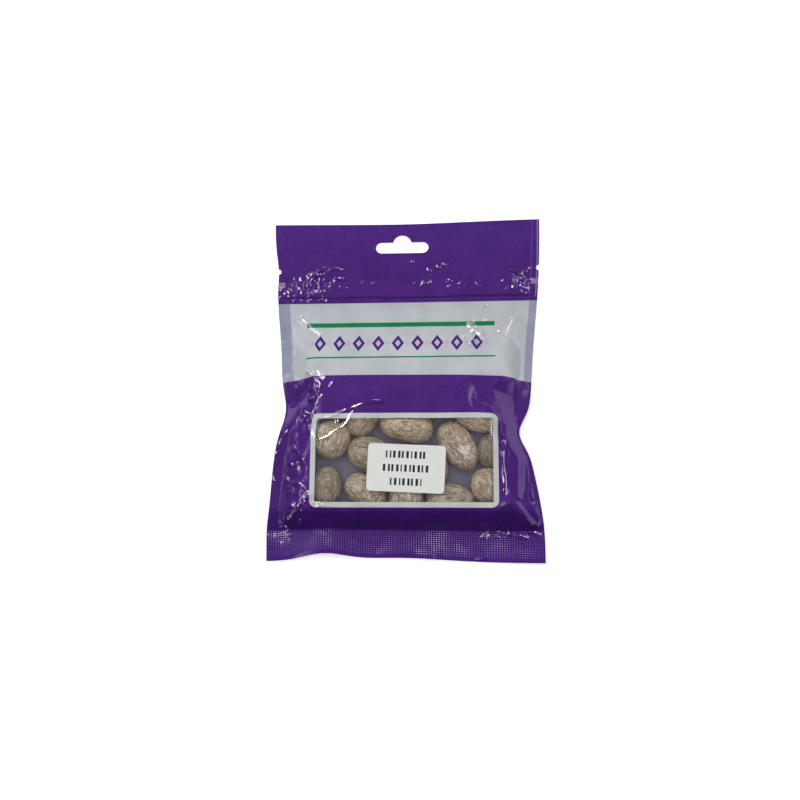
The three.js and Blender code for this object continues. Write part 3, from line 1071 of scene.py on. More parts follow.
def settled(
    form: Form, slack: Slack, pinned: Pinned, clear: Clear,
    passes: tuple[Pass, ...], hold: float, seed: int,
) -> Lattice:
    """Settles a film in passes, each finer than the one before and started from it.

    Args:
        form: The film's form, a function of u, v.
        slack: Spare length across and along, a function of u, v, x, y.
        pinned: 1 where the film is fixed, a function of u, v, x, y.
        clear: Keeps an array of points out of what the film lies on.
        passes: The passes.
        hold: How softly the film is drawn to its form each round.
        seed: Of the ripples that start the wrinkles.

    Returns:
        The settled film.
    """
    last = None
    for number, step in enumerate(passes):
        film = Film(step.cell, form, slack, pinned)
        u, v = np.meshgrid(film.u, film.v)
        if last is not None:
            film.points = np.where(film.free[..., None] > 0, last.at(u, v), film.points)
        ripple = noise(step.ripple_width, seed + number).at(u, v)
        film.points[..., 2] += step.ripple * film.free * ripple
        film.settle(step.rounds, step.bending, hold, clear)
        last = film.lattice()
    return last


def normals_of(points: Array) -> Array:
    """Unit normals of a grid of points, from the cross product of its two directions."""
    out = np.cross(np.gradient(points, axis=1), np.gradient(points, axis=0))
    return out / np.linalg.norm(out, axis=-1, keepdims=True)


# --- Meshes from grids ---


@dataclass
class Shell:
    """A closed thin shell between two grids of points, with holes where faces are left out."""

    name: str
    upper: Array
    lower: Array
    u: Array
    v: Array
    kept: Array | None = None
    inner_share: Pair = (0.0, 1.0)
    marks: dict[str, Array] = field(default_factory=dict)
    sharp: float = 35.0

    @classmethod
    def around(cls, name: str, middle: Array, thickness: float, *flat: Array, **rest) -> "Shell":
        """A shell of even thickness around a grid of points, with its u and v and other fields."""
        offset = normals_of(middle) * thickness / 2
        return cls(name, middle + offset, middle - offset, *flat, **rest)

    def faces(self) -> Array:
        """Quads of the upper side, of the lower side and of the walls round every edge and hole."""
        rows, columns = self.upper.shape[:2]
        kept = np.ones((rows - 1, columns - 1), bool) if self.kept is None else self.kept
        index = np.arange(rows * columns).reshape(rows, columns)
        a, b = index[:-1, :-1], index[:-1, 1:]
        c, d = index[1:, 1:], index[1:, :-1]
        low = rows * columns
        quads = [np.stack([a, b, c, d], -1)[kept], np.stack([d, c, b, a], -1)[kept] + low]
        around = np.pad(kept, 1)
        below, above = around[:-2, 1:-1], around[2:, 1:-1]
        left, right = around[1:-1, :-2], around[1:-1, 2:]
        for neighbour, start, end in ((below, a, b), (right, b, c), (above, c, d), (left, d, a)):
            wall = np.stack([end, start, start + low, end + low], -1)
            quads.append(wall[kept & ~neighbour])
        return np.concatenate(quads)

    def build(self) -> bpy.types.Object:
        """Makes the mesh object, none of it below the table, with the flat places as UV map."""
        points = np.concatenate([self.upper.reshape(-1, 3), self.lower.reshape(-1, 3)])
        points[:, 2] = np.maximum(points[:, 2], 0)
        flat = np.tile(np.stack([self.u.ravel(), self.v.ravel()], -1), (2, 1))
        marks = {"inner": np.repeat(self.inner_share, self.u.size)}
        marks |= {mark: np.tile(numbers.ravel(), 2) for mark, numbers in self.marks.items()}
        return mesh_object(self.name, points, self.faces(), flat, marks, self.sharp)


def mesh_object(
    name: str, points: Array, faces: Array, flat: Array, marks: dict[str, Array], sharp: float
) -> bpy.types.Object:
    """Puts points and faces into a new object at the origin, without the unused points.

    Args:
        name: The object's name.
        points: Points in millimetres.
        faces: Rows of point numbers, three or four a face.
        flat: Two flat coordinates for each point, in millimetres, which become the UV map in
            metres.
        marks: Further numbers or vectors for each point, by attribute name.
        sharp: Edges that turn by more than this many degrees are shaded sharp.

    Returns:
        The new object, linked to the scene.
    """
    used = np.unique(faces)
    renumber = np.zeros(len(points), np.int64)
    renumber[used] = np.arange(len(used))
    corners = renumber[faces].astype(np.int32).ravel()
    mesh = bpy.data.meshes.new(name)
    mesh.vertices.add(len(used))
    mesh.vertices.foreach_set("co", (points[used] * MM).astype(np.float32).ravel())
    mesh.loops.add(len(corners))
    mesh.loops.foreach_set("vertex_index", corners)
    mesh.polygons.add(len(faces))
    mesh.polygons.foreach_set("loop_start", np.arange(len(faces), dtype=np.int32) * faces.shape[1])
    mesh.update(calc_edges=True)
    layer = mesh.uv_layers.new(name="Flat")
    layer.uv.foreach_set("vector", (flat[used] * MM).astype(np.float32)[corners].ravel())
    for mark, numbers in marks.items():
        kind, field_name = ("FLOAT", "value") if numbers.ndim == 1 else ("FLOAT_VECTOR", "vector")
        attribute = mesh.attributes.new(mark, kind, "POINT")
        attribute.data.foreach_set(field_name, numbers[used].astype(np.float32).ravel())
    mesh.polygons.foreach_set("use_smooth", np.ones(len(faces), bool))
    mesh.set_sharp_from_angle(angle=math.radians(sharp))
    mesh.validate()
    made = bpy.data.objects.new(name, mesh)
    bpy.context.collection.objects.link(made)
    return made


def trimmed(u: Array, v: Array, distance: Form) -> Array:
    """Cuts a grid along a curve, by moving the grid's points that are nearest to the curve onto it.

    Args:
        u: Flat coordinates across, changed in place.
        v: Flat coordinates along, changed in place.
        distance: Signed distance to the cut as a function of u, v, below 0 where film is cut away.

    Returns:
        Which faces stay.
    """
    far = distance(u, v)
    kept = (far[:-1, :-1] + far[1:, :-1] + far[:-1, 1:] + far[1:, 1:]) > 0
    around = np.pad(kept, 1, mode="edge").astype(int)
    touching = around[:-1, :-1] + around[1:, :-1] + around[:-1, 1:] + around[1:, 1:]
    border = (touching > 0) & (touching < 4)
    for _ in range(3):
        far = distance(u, v)
        step = 1e-3
        slope_u = (distance(u + step, v) - far) / step
        slope_v = (distance(u, v + step) - far) / step
        u -= np.where(border, far * slope_u, 0)
        v -= np.where(border, far * slope_v, 0)
    return kept


# --- Node materials written as expressions ---


def operator(kind: str, flipped: bool = False) -> "Callable[[Wire, Wire | float], Wire]":
    """A method of Wire that adds a Math node of this kind, with its two values flipped or not."""

    def method(self: "Wire", other: "Wire | float") -> "Wire":
        """The node's result for both values."""
        return self.math(kind, other, self) if flipped else self.math(kind, self, other)

    return method


class Wire:
    """A socket's output as a number in an expression: each operator adds its Math node."""

    def __init__(self, graph: "Graph", socket: bpy.types.NodeSocket) -> None:
        """Wraps a socket of that graph."""
        self.graph = graph
        self.socket = socket

    def math(self, operation: str, *values: "Wire | float") -> "Wire":
        """A Math node of this operation on the values."""
        inputs = dict(enumerate(values))
        return self.graph.node("Math", {"operation": operation}, inputs)

    __add__ = __radd__ = operator("ADD")
    __sub__ = operator("SUBTRACT")
    __rsub__ = operator("SUBTRACT", flipped=True)
    __mul__ = __rmul__ = operator("MULTIPLY")
    __truediv__ = operator("DIVIDE")
    __pow__ = operator("POWER")
    least = operator("MINIMUM")
    most = operator("MAXIMUM")

    def __abs__(self) -> "Wire":
        """The size of the number."""
        return self.math("ABSOLUTE", self)

    def wave(self) -> "Wire":
        """Its sine."""
        return self.math("SINE", self)

    def repeat(self, length: float) -> "Wire":
        """The number in steps of length, measured from the middle of its step."""
        return self.math("WRAP", self, length / 2, -length / 2)

    def ramp(self, low: float, high: float) -> "Wire":
        """0 at low and 1 at high, eased and held outside them."""
        settings = {"interpolation_type": "SMOOTHSTEP"}
        inputs = {0: self, 1: low, 2: high, 3: 0, 4: 1}
        return self.graph.node("MapRange", settings, inputs)


class Graph:
    """The nodes of one material, or of the sky."""

    def __init__(self, owner: bpy.types.Material | bpy.types.World) -> None:
        """Starts with no nodes."""
        owner.use_nodes = True
        self.owner = owner
        self.tree = owner.node_tree
        self.tree.nodes.clear()

    @classmethod
    def of_material(cls, name: str) -> "Graph":
        """The nodes of a new material."""
        return cls(bpy.data.materials.new(name))

    def node(
        self,
        kind: str,
        settings: dict | None = None,
        inputs: dict | None = None,
        out: int | str = 0,
    ) -> Wire:
        """Adds a node.

        Args:
            kind: The node's type, without the ShaderNode before it.
            settings: Its own settings, set first.
            inputs: Values or wires by socket name or number.
            out: Name or number of the output to return.

        Returns:
            The wrapped output.
        """
        made = self.tree.nodes.new("ShaderNode" + kind)
        for key, value in (settings or {}).items():
            setattr(made, key, value)
        for key, value in (inputs or {}).items():
            if isinstance(value, Wire):
                self.tree.links.new(value.socket, made.inputs[key])
            else:
                made.inputs[key].default_value = value
        return Wire(self, made.outputs[out])

    def mix(self, factor: Wire | float, first: "Wire | tuple", second: "Wire | tuple") -> Wire:
        """A colour between two, by factor."""
        inputs = {0: factor, 6: colour(first), 7: colour(second)}
        return self.node("Mix", {"data_type": "RGBA"}, inputs, out=2)

    def tint(self, wire: Wire, low: float, high: float, mask: Wire | float) -> Wire:
        """The colour multiplied by a grey that goes from low to high as mask goes from 0 to 1."""
        settings = {"data_type": "RGBA", "blend_type": "MULTIPLY"}
        grey = self.mix(mask, (low, low, low), (high, high, high))
        return self.node("Mix", settings, {0: 1.0, 6: wire, 7: grey}, out=2)

    def layered(self, under: "Wire | tuple", *coats: "tuple[Wire, Wire | tuple]") -> "Wire | tuple":
        """Colours laid over one another, each where its mask is 1."""
        for mask, tone in coats:
            under = self.mix(mask, under, tone)
        return under

    def axes(self, source: Wire) -> tuple[Wire, Wire, Wire]:
        """A vector's three numbers."""
        split = self.node("SeparateXYZ", inputs={0: source}).socket.node
        return tuple(Wire(self, output) for output in split.outputs)

    def flat(self) -> tuple[Wire, Wire]:
        """Flat coordinates u and v in millimetres."""
        u, v, _ = self.axes(self.node("UVMap", {"uv_map": "Flat"}))
        return u * (1 / MM), v * (1 / MM)

    def place(self) -> Wire:
        """Object coordinates."""
        return self.node("TexCoord", out="Object")

    def mark(self, name: str) -> Wire:
        """A number that the mesh carries."""
        return self.node("Attribute", {"attribute_name": name}, out="Fac")

    def grain(self, vector: Wire, cell: float, detail: float = 2.0, warp: float = 0.0) -> Wire:
        """Noise with hills about one cell (mm) wide, around 0.5."""
        inputs = {"Vector": vector, "Scale": 1 / (cell * MM), "Detail": detail, "Distortion": warp}
        return self.node("TexNoise", inputs=inputs)

    def bump(self, height: Wire, distance: float, strength: float, **under: Wire) -> Wire:
        """A normal from a height whose 0 to 1 is distance millimetres, over the Normal under it."""
        inputs = {"Height": height, "Distance": distance * MM, "Strength": strength, **under}
        return self.node("Bump", inputs=inputs)

    def principled(self, inputs: dict) -> Wire:
        """A Principled shader with these sockets."""
        return self.node("BsdfPrincipled", inputs=inputs)

    def finish(self, surface: Wire) -> bpy.types.Material | bpy.types.World:
        """Sends the surface to the output and returns the material or the sky."""
        kind = "World" if isinstance(self.owner, bpy.types.World) else "Material"
        output = self.tree.nodes.new("ShaderNodeOutput" + kind)
        self.tree.links.new(surface.socket, output.inputs["Surface"])
        return self.owner


def colour(value: "Wire | tuple") -> "Wire | tuple":
    """A wire as it is, and three numbers as an opaque colour."""
    return value if isinstance(value, Wire) else (*value, 1.0)


def srgb(red: int, green: int, blue: int) -> Triple:
    """Linear colour from display values of 0 to 255."""
    out = []
    for part in (red, green, blue):
        share = part / 255
        out.append(share / 12.92 if share <= 0.04045 else ((share + 0.055) / 1.055) ** 2.4)
    return tuple(out)


# --- Finishes ---


@dataclass(frozen=True)
class Print:
    """What is printed on the front: a pale band under the zip and a pale frame round the window."""

    window: tuple[float, float, float, float] = (-44.7, -61.5, 46.0, -18.8)
    frame_width: float = 2.7
    frame_corner: float = 3.6
    band_top: float = 46.3
    band_foot: float = 4.2
    band_bow: float = 2.0
    band_tilt: float = 0.006
    seal_left: float = -66.2
    seal_right: float = 68.4
    seal_lines: Pair = (68.4, 71.5)
    zip_ends: float = 57.0
    row_middle: Pair = (-3.4, 22.6)
    row_pitch: float = 10.4
    row_ends: Pair = (48.9, 51.4)
    rule_places: Pair = (33.6, 14.4)


@dataclass(frozen=True)
class PrintedFilm:
    """Glossy purple film with the pale print, faint tones along the pouch, a painted shade on the
    slope under the window, whitish crimp points that are partly painted glints, and a fine crackle.
    """

    purple: tuple = srgb(81, 40, 127)
    header: tuple = srgb(82, 44, 133)
    lower: tuple = srgb(80, 38, 132)
    band: tuple = srgb(193, 196, 202)
    band_seal: tuple = srgb(157, 159, 182)
    frame: tuple = srgb(206, 208, 206)
    motif: tuple = srgb(70, 40, 118)
    rule: tuple = srgb(24, 128, 80)
    inner: tuple = srgb(146, 141, 168)
    # Painted shade: the steep slope under the window is darkened in the colour.
    hollow: tuple = srgb(60, 24, 106)
    magenta: tuple = srgb(104, 62, 146)
    lilac: tuple = srgb(144, 130, 172)
    pale_lilac: tuple = srgb(196, 178, 206)
    # Partly the film's stress whitening, partly painted glints on the crimp's points.
    whitened_and_glint: tuple = srgb(232, 226, 243)
    roughness: float = 0.18
    ior: float = 1.2
    crease_roughness: float = 0.04
    crease_ior: float = 1.65

    def material(self, layout: Print, printed: bool) -> bpy.types.Material:
        """The film's material.

        Args:
            layout: Where the print is.
            printed: False for the plain back.

        Returns:
            The material.
        """
        graph = Graph.of_material("printed_film" if printed else "plain_film")
        u, v = graph.flat()
        place = graph.place()
        tone = graph.layered(
            self.purple,
            (v.ramp(60, 90), self.header),
            (v.ramp(-50, -80), self.lower),
            # Painted shade on the slope between the window and the bottom seal.
            (v.ramp(-62, -68) * v.ramp(-75.8, -75.4), self.hollow),
        )
        tone = graph.tint(tone, 0.91, 1.09, graph.grain(place, 1.6, 3).ramp(0.3, 0.7))
        # The crimp's points are painted whitish: partly stress whitening, partly painted glints.
        tone = graph.mix(self.pressed(graph, u, v), tone, self.whitened_and_glint)
        if printed:
            tone = self.paint(graph, layout, u, v, tone)
        tone = graph.tint(tone, 0.95, 1.05, graph.grain(place, 14, 2).ramp(0.35, 0.65))
        tone = graph.mix(graph.mark("inner"), tone, self.inner)
        crackle = graph.bump(graph.grain(place, 2.6, 3, 1.2), 0.05, 0.5)
        normal = graph.bump(graph.grain(place, 0.7, 2), 0.012, 0.5, Normal=crackle)
        inputs = {
            "Base Color": tone,
            "Roughness": self.roughness,
            "IOR": self.ior,
            "Coat Weight": graph.mark("shine"),
            "Coat Roughness": self.crease_roughness,
            "Coat IOR": self.crease_ior,
            "Normal": normal,
        }
        return graph.finish(graph.principled(inputs))

    def pressed(self, graph: Graph, u: Wire, v: Wire) -> Wire:
        """Where the sealing bars' small points are painted whitish, as the mesh says: partly the
        film's stress whitening, partly painted glints.
        """
        across, along = CRIMP_PITCH
        peak = math.pi / 2
        columns = (u * (math.tau / across) + peak).wave().ramp(-0.1, 0.7)
        rows = (v * (math.tau / along) + peak).wave().ramp(-0.1, 0.7)
        return columns * rows * graph.mark("worn_and_glint")

    def paint(self, graph: Graph, layout: Print, u: Wire, v: Wire, tone: Wire) -> Wire:
        """Lays the band, its motifs and the window's frame over the purple."""
        seals = (layout.seal_left - u).most(u - layout.seal_right).ramp(-0.2, 0.2)
        band_tone = graph.mix(seals, self.band, self.band_seal)
        foot = layout.band_foot - u * layout.band_tilt - (u / 70) ** 4 * layout.band_bow
        in_band = (v - foot).ramp(-0.15, 0.15) * (v - layout.band_top).ramp(0.15, -0.15)
        motif, small, rules = self.motifs(layout, u, v)
        band_tone = graph.layered(
            band_tone, (motif, self.motif), (small, self.pale_lilac), (rules, self.rule)
        )
        above = v.ramp(48, 49)
        magenta_line, lilac_line = (abs(u - at).ramp(0.35, 0.2) * above for at in layout.seal_lines)
        ends = abs(u).ramp(68.6, 68.9) * abs(v - layout.zip_ends).ramp(1.6, 1.3)
        left, foot_, right, head = layout.window
        corner = layout.frame_corner
        half_width, half_height = (right - left) / 2, (head - foot_) / 2
        du = (abs(u - (left + right) / 2) - (half_width + layout.frame_width - corner)).most(0)
        dv = (abs(v - (foot_ + head) / 2) - (half_height + layout.frame_width - corner)).most(0)
        outside = (du * du + dv * dv) ** 0.5
        return graph.layered(
            tone,
            (in_band, band_tone),
            (magenta_line, self.magenta),
            (lilac_line, self.lilac),
            (ends, self.lilac),
            (outside.ramp(corner + 0.12, corner - 0.12), self.frame),
        )

    def motifs(self, layout: Print, u: Wire, v: Wire) -> tuple[Wire, Wire, Wire]:
        """A row of purple lozenges with small lilac ones, and a thick and a thin green rule."""
        middle, row = layout.row_middle
        pitch = layout.row_pitch
        away = abs((u - middle).repeat(pitch))
        beside = abs(v - row)
        large = (away / 3.3 + beside / 4.7).ramp(1.04, 0.96)
        cut = (away / 1.5 + beside / 2.1).ramp(1.06, 0.94)
        small = ((pitch / 2 - away) / 1.5 + beside / 2.2).ramp(1.06, 0.94)
        row_span, rule_span = (abs(u - middle).ramp(end, end - 0.4) for end in layout.row_ends)
        thick, thin = layout.rule_places
        rules = abs(v - thick).ramp(1.4, 1.25).most(abs(v - thin).ramp(0.5, 0.36))
        return large * (1.0 - cut) * row_span, small.most(cut) * row_span, rules * rule_span


@dataclass(frozen=True)
class ClearFilm:
    """Clear glossy film: it mirrors by its slant and is a little hazy."""

    tint: tuple = (0.985, 0.985, 0.99)
    haze: tuple = srgb(205, 205, 210)
    haze_share: float = 0.02
    roughness: float = 0.25
    crease_roughness: float = 0.04
    ior: float = 1.7
    smooth_share: float = 0.15
    mirror_limit: float = 0.2

    def material(self) -> bpy.types.Material:
        """The clear film's material: a see-through shader with gloss mixed in by Fresnel.

        The gloss has a limit, because a film seen at a low angle would mirror the dark beside the
        lamps.
        """
        graph = Graph.of_material("clear_film")
        normal = graph.bump(graph.grain(graph.place(), 1.9, 3, 1.0), 0.05, 0.5)
        shine = graph.mark("shine")
        clear = graph.node("BsdfTransparent", inputs={"Color": colour(self.tint)})
        inputs = {
            "Base Color": (1, 1, 1, 1),
            "Metallic": 1.0,
            "Roughness": self.roughness + shine * (self.crease_roughness - self.roughness),
            "Normal": normal,
        }
        gloss = graph.principled(inputs)
        haze = graph.principled({"Base Color": colour(self.haze), "Roughness": 0.6})
        mirror = graph.node("Fresnel", inputs={"IOR": self.ior, "Normal": normal})
        body = graph.node("MixShader", inputs={0: self.haze_share, 1: clear, 2: haze})
        share = mirror * (self.smooth_share + shine * (1 - self.smooth_share))
        share = share.least(self.mirror_limit)
        return graph.finish(graph.node("MixShader", inputs={0: share, 1: body, 2: gloss}))


@dataclass(frozen=True)
class NutmegSkin:
    """Dull grey-brown skin with a fine lengthwise net of wrinkles, painted shade in the furrows
    and, on some nutmegs, white flecks that are partly dust and partly painted glints.
    """

    dark: tuple = srgb(112, 91, 69)
    middle: tuple = srgb(199, 175, 142)
    pale: tuple = srgb(236, 222, 199)
    # Partly dust, partly painted glints of the film that clings to the tops.
    fleck_and_glint: tuple = srgb(252, 249, 242)
    roughness: float = 0.62
    ior: float = 1.45
    stretch: float = 0.22

    def material(self) -> bpy.types.Material:
        """The skin's material, read from the furrows, the dust and painted glints, and the tone
        that the mesh carries.
        """
        graph = Graph.of_material("nutmeg_skin")
        own = graph.node("Attribute", {"attribute_name": "own"}, out="Vector")
        inputs = {"Vector": own, "Scale": (self.stretch, 1.0, 1.0)}
        along = graph.node("Mapping", inputs=inputs)
        furrow, dust_and_glint_share = graph.mark("furrow"), graph.mark("dust_and_glint_share")
        grit = graph.grain(own, 0.62, 1)
        line = graph.grain(along, 0.8, 1, 0.4)
        net = self.veins(graph.grain(along, 1.5, 2, 0.7), 9.0)
        patch = graph.grain(own, 5, 2, 0.4)
        skin = graph.layered(
            self.dark,
            ((grit * 0.5 + line * 0.5).ramp(0.36, 0.62), self.middle),
            (net * (patch.ramp(0.35, 0.6) * 0.6), self.pale),
            # Painted shade in the furrows.
            (furrow.ramp(0.3, 0.85) * 0.5, self.dark),
        )
        skin = graph.tint(skin, 0.5, 1.3, graph.mark("tone"))
        streak = graph.grain(along, 0.6, 1, 1.0).ramp(0.57, 0.63)
        streak = streak * graph.grain(own, 3.0, 2).ramp(0.42, 0.54)
        # White flecks on the tops: partly dust, partly painted glints of the clinging film.
        flecks_and_glints = dust_and_glint_share * (streak + net * patch.ramp(0.4, 0.55) * 0.6).least(1.0)
        skin = graph.mix(flecks_and_glints * 0.85, skin, self.fleck_and_glint)
        relief = grit * 0.4 + line * 0.4 + net * 0.4
        inputs = {
            "Base Color": skin,
            "Roughness": self.roughness - flecks_and_glints * 0.3,
            "IOR": self.ior,
            "Normal": graph.bump(relief, 0.2, 0.7),
        }
        return graph.finish(graph.principled(inputs))

    @staticmethod
    def veins(grain: Wire, sharpness: float) -> Wire:
        """Thin lines where a noise crosses its middle: 1 on the line, falling to 0 beside it."""
        return (1.0 - abs(grain - 0.5) * sharpness).most(0.0)


@dataclass(frozen=True)
class StickerPaper:
    """Semi-matt white paper with three rows of plain dark strokes."""

    paper: tuple = srgb(235, 237, 233)
    ink: tuple = srgb(22, 22, 26)
    rows: tuple[Triple, ...] = ((6.9, 10.6, 0.4), (0.0, 12.2, 2.2), (-6.9, 8.6, 3.9))
    roughness: float = 0.5
    ior: float = 1.45

    def material(self) -> bpy.types.Material:
        """The sticker's material, in its own flat coordinates."""
        graph = Graph.of_material("sticker_paper")
        u, v = graph.flat()
        first, second, third = (self.strokes(u, v, *row) for row in self.rows)
        ink = first.most(second).most(third)
        grain = graph.grain(graph.place(), 0.25, 3)
        tone = graph.tint(graph.mix(ink, self.paper, self.ink), 0.96, 1.03, grain)
        inputs = {"Base Color": tone, "Roughness": self.roughness, "IOR": self.ior}
        inputs["Normal"] = graph.bump(grain, 0.02, 0.5)
        return graph.finish(graph.principled(inputs))

    def strokes(self, u: Wire, v: Wire, height: float, half_width: float, phase: float) -> Wire:
        """A row of uneven upright strokes, where two waves of unlike length add up high."""
        waves = (u * 2.9 + phase).wave() + (u * 1.7 + phase).wave() * 0.7
        inside = abs(u).ramp(half_width + 0.1, half_width - 0.1) * abs(v - height).ramp(1.88, 1.72)
        return waves.ramp(-0.1, 0.1) * inside


# --- Sub-assemblies ---


class Slot(Enum):
    """Names of the material slots."""

    FILM = "purple_film"
    CLEAR = "clear_film"
    NUTMEG = "nutmeg"
    PAPER = "sticker_paper"


class Node(Enum):
    """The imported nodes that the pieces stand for."""

    POUCH = "pouch"
    STICKER = "sticker"


def hand_over(
    piece: bpy.types.Object, material: bpy.types.Material, node: Node = Node.POUCH
) -> None:
    """Dresses a finished piece and says what it rides on and the node it stands for."""
    piece.data.materials.append(material)
    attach(piece, BODY)
    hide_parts(node.value)
    LOG.info("%s: %d faces", piece.name, len(piece.data.polygons))


@dataclass
class Pocket:
    """The front and the back film between the bottom seal and the zip, with the clear window."""

    pillow: Pillow = Pillow()
    layout: Print = Print()
    thickness: float = 0.12
    film_gap: float = 0.3
    weld_gap: float = 0.005
    window_thickness: float = 0.06
    hold: float = 0.035
    least_slack: float = 0.001
    front_passes: tuple[Pass, ...] = (
        Pass(3.0, 90, 0.02, 0.25, 8.0),
        Pass(1.5, 110, 0.03, 0.12, 4.0),
        Pass(0.75, 110, 0.05, 0.05, 2.2),
    )
    back_passes: tuple[Pass, ...] = (Pass(3.0, 80, 0.02, 0.2, 9.0), Pass(1.5, 100, 0.04, 0.1, 5.0))

    def front_slack(self, u: Array, v: Array, x: Array, y: Array) -> tuple[Array, Array]:
        """Spare length of the front film, as shares of its length across and along.

        There is most beside the pinched sides, some in the corners, at the ends of the zip and
        along the seals, each patchy by a broad noise, and nearly none on the taut middle.
        """
        patchy = np.clip(0.6 + 0.5 * noise(11, 21).at(u, v), 0, 1.6)
        sides = bell(y, -20, 24) * (ease(-46, -56, x) + ease(46, 54, x))
        corners = (bell(x, -56, 10) + bell(x, 56, 10)) * bell(y, -66, 9)
        zip_foot = bell(v, 46, 6) * (0.4 + ease(40, 60, np.abs(x)))
        band_ends = bell(y, 26, 18) * ease(42, 62, np.abs(x))
        seals = ease(57, 64, np.abs(u))
        foot = bell(v, -74, 5)
        across = 0.03 * sides + 0.02 * corners + 0.012 * zip_foot + 0.014 * foot
        along = 0.016 * sides + 0.015 * corners + 0.02 * seals + 0.008 * band_ends
        return self.least_slack + patchy * across, self.least_slack + patchy * along

    def back_slack(self, u: Array, v: Array, x: Array, y: Array) -> tuple[Array, Array]:
        """Spare length of the back film: a little everywhere, more towards the seals."""
        patchy = np.clip(0.5 + 0.6 * noise(16, 31).at(u, v), 0, 1.6)
        rim = ease(0.6, 0.95, np.abs(u) / self.pillow.outline.half_width)
        return patchy * (0.004 + 0.02 * rim), patchy * (0.003 + 0.012 * rim)

    def back_pinned(self, u: Array, v: Array, x: Array, y: Array) -> Array:
        """1 on the side seals."""
        form = self.pillow.outline
        return ((u < form.left_seal) | (u > form.right_seal)).astype(float)

    def front_pinned(self, u: Array, v: Array, x: Array, y: Array) -> Array:
        """1 on the side seals and under the sticker."""
        glued = 1 - ease(0, 1.5, STICKER.past(x, y, 0.5))
        sealed = self.back_pinned(u, v, x, y) > 0
        return np.where(sealed | (glued > 0.95), 1.0, glued)

    def creased(self, front: Lattice, back: Lattice, u: Array, v: Array) -> tuple[Array, Array]:
        """Adds the fine creases and the crushed patches to the settled front film.

        These fade out on the seals and under the sticker, and stay clear of the nutmegs.

        Args:
            front: The settled front film.
            back: The settled back film, which the front stays above.
            u: Flat places across.
            v: Flat places along.

        Returns:
            The points and how glossy the film is there.
        """
        smooth = front.at(u, v)
        points = smooth.copy()
        x, y = points[..., 0], points[..., 1]
        lift = sum(crush.rise(x, y) for crush in CRUSHED)
        form = self.pillow.outline
        left, right = form.left_seal, form.right_seal
        inside = 0.45 + 0.55 * ease(left, left + 3, u) * ease(right, right - 3, u)
        inside = inside * ease(form.half_width, form.half_width - 2, np.abs(u))
        ends = within(form.bottom_seal, form.zip_foot, (0.8, 1), v)
        points[..., 2] += lift * inside * ends * ease(0, 3, STICKER.past(x, y, 1))
        shine = glossy(CRUSHED, x, y) * inside
        folded(points, smooth, PLEATS, shine)
        self.over_nutmegs(points)
        points[..., 2] = np.maximum(points[..., 2], back.at(u, v)[..., 2] + self.film_gap)
        return points, shine

    def turn_facets(self, front: Lattice) -> None:
        """Turns the large facets beside the window; the ends, rims and window keep their place."""
        rows, columns = front.values.shape[:2]
        u = front.start[0] + front.step[0] * np.arange(columns)
        v = front.start[1] + front.step[1] * np.arange(rows)
        left, foot, right, head = self.layout.window
        rim = self.pillow.outline.half_width - 1.5
        ends = (v < front.start[1] + 1) | (v > self.pillow.outline.zip_foot - 1)
        hold = np.full((rows, columns), 0.0001)
        window = ((v > foot) & (v < head))[:, None] & ((u > left) & (u < right))[None, :]
        hold[window] = 0.02
        hold[ends[:, None] | (np.abs(u) > rim)[None, :]] = 10
        faceted(front, FACETS, hold)

    @staticmethod
    def over_nutmegs(points: Array) -> None:
        """Keeps the front film above the nutmegs and clear of the back film."""
        for nut in LAYER:
            nut.lifted(points, 0.2)
        points[..., 2] = np.maximum(points[..., 2], 0.7)

    @staticmethod
    def on_table(points: Array) -> None:
        """Keeps the back film between the table and the nutmegs."""
        points[..., 2] = np.clip(points[..., 2], 0.1, 12)

    def grid(self) -> tuple[Array, Array]:
        """Flat coordinates of the front's grid, whose lines run along the window's edges."""
        left, foot, right, head = self.layout.window
        form = self.pillow.outline
        u = lines(
            (-form.half_width, 0),
            (form.left_seal, 0.65),
            (left, 0.42),
            (right, 0.8),
            (form.right_seal, 0.42),
            (form.half_width, 0.65),
        )
        v = lines((form.bottom_seal, 0), (foot, 0.45), (head, 0.6), (form.zip_foot, 0.55))
        return np.meshgrid(u, v)

    def window_grid(self) -> tuple[Array, Array]:
        """Flat coordinates of the clear window's grid."""
        left, foot, right, head = self.layout.window
        return np.meshgrid(lines((left, 0), (right, 0.32)), lines((foot, 0), (head, 0.3)))

    def build(self) -> Lattice:
        """Settles both films and makes the printed front, the window and the back.

        Returns:
            The settled front film, for what lies on it.
        """
        form, slack, pinned = self.pillow.front, self.front_slack, self.front_pinned
        keep_off, passes = self.over_nutmegs, self.front_passes
        front = settled(form, slack, pinned, keep_off, passes, self.hold, seed=7)
        form, slack, pinned = self.pillow.back, self.back_slack, self.back_pinned
        keep_off, passes = self.on_table, self.back_passes
        back = settled(form, slack, pinned, keep_off, passes, self.hold, seed=17)
        front = front.finer(0.4)
        self.turn_facets(front)
        LOG.info("front film settled, top at %.1f mm", front.values[..., 2].max())
        u, v = self.grid()
        points, shine = self.creased(front, back, u, v)
        self.build_back(back, points)
        left, foot, right, head = self.layout.window
        centre_u, centre_v = (u[:-1, :-1] + u[1:, 1:]) / 2, (v[:-1, :-1] + v[1:, 1:]) / 2
        clear = (centre_u > left) & (centre_u < right) & (centre_v > foot) & (centre_v < head)
        marks = {"shine": shine}
        panel = Shell.around("front_film", points, self.thickness, u, v, kept=~clear, marks=marks)
        hand_over(panel.build(), PrintedFilm().material(self.layout, True))
        u, v = self.window_grid()
        points, shine = self.creased(front, back, u, v)
        marks = {"shine": shine}
        window = Shell.around("window_film", points, self.window_thickness, u, v, marks=marks)
        hand_over(window.build(), ClearFilm().material())
        return front

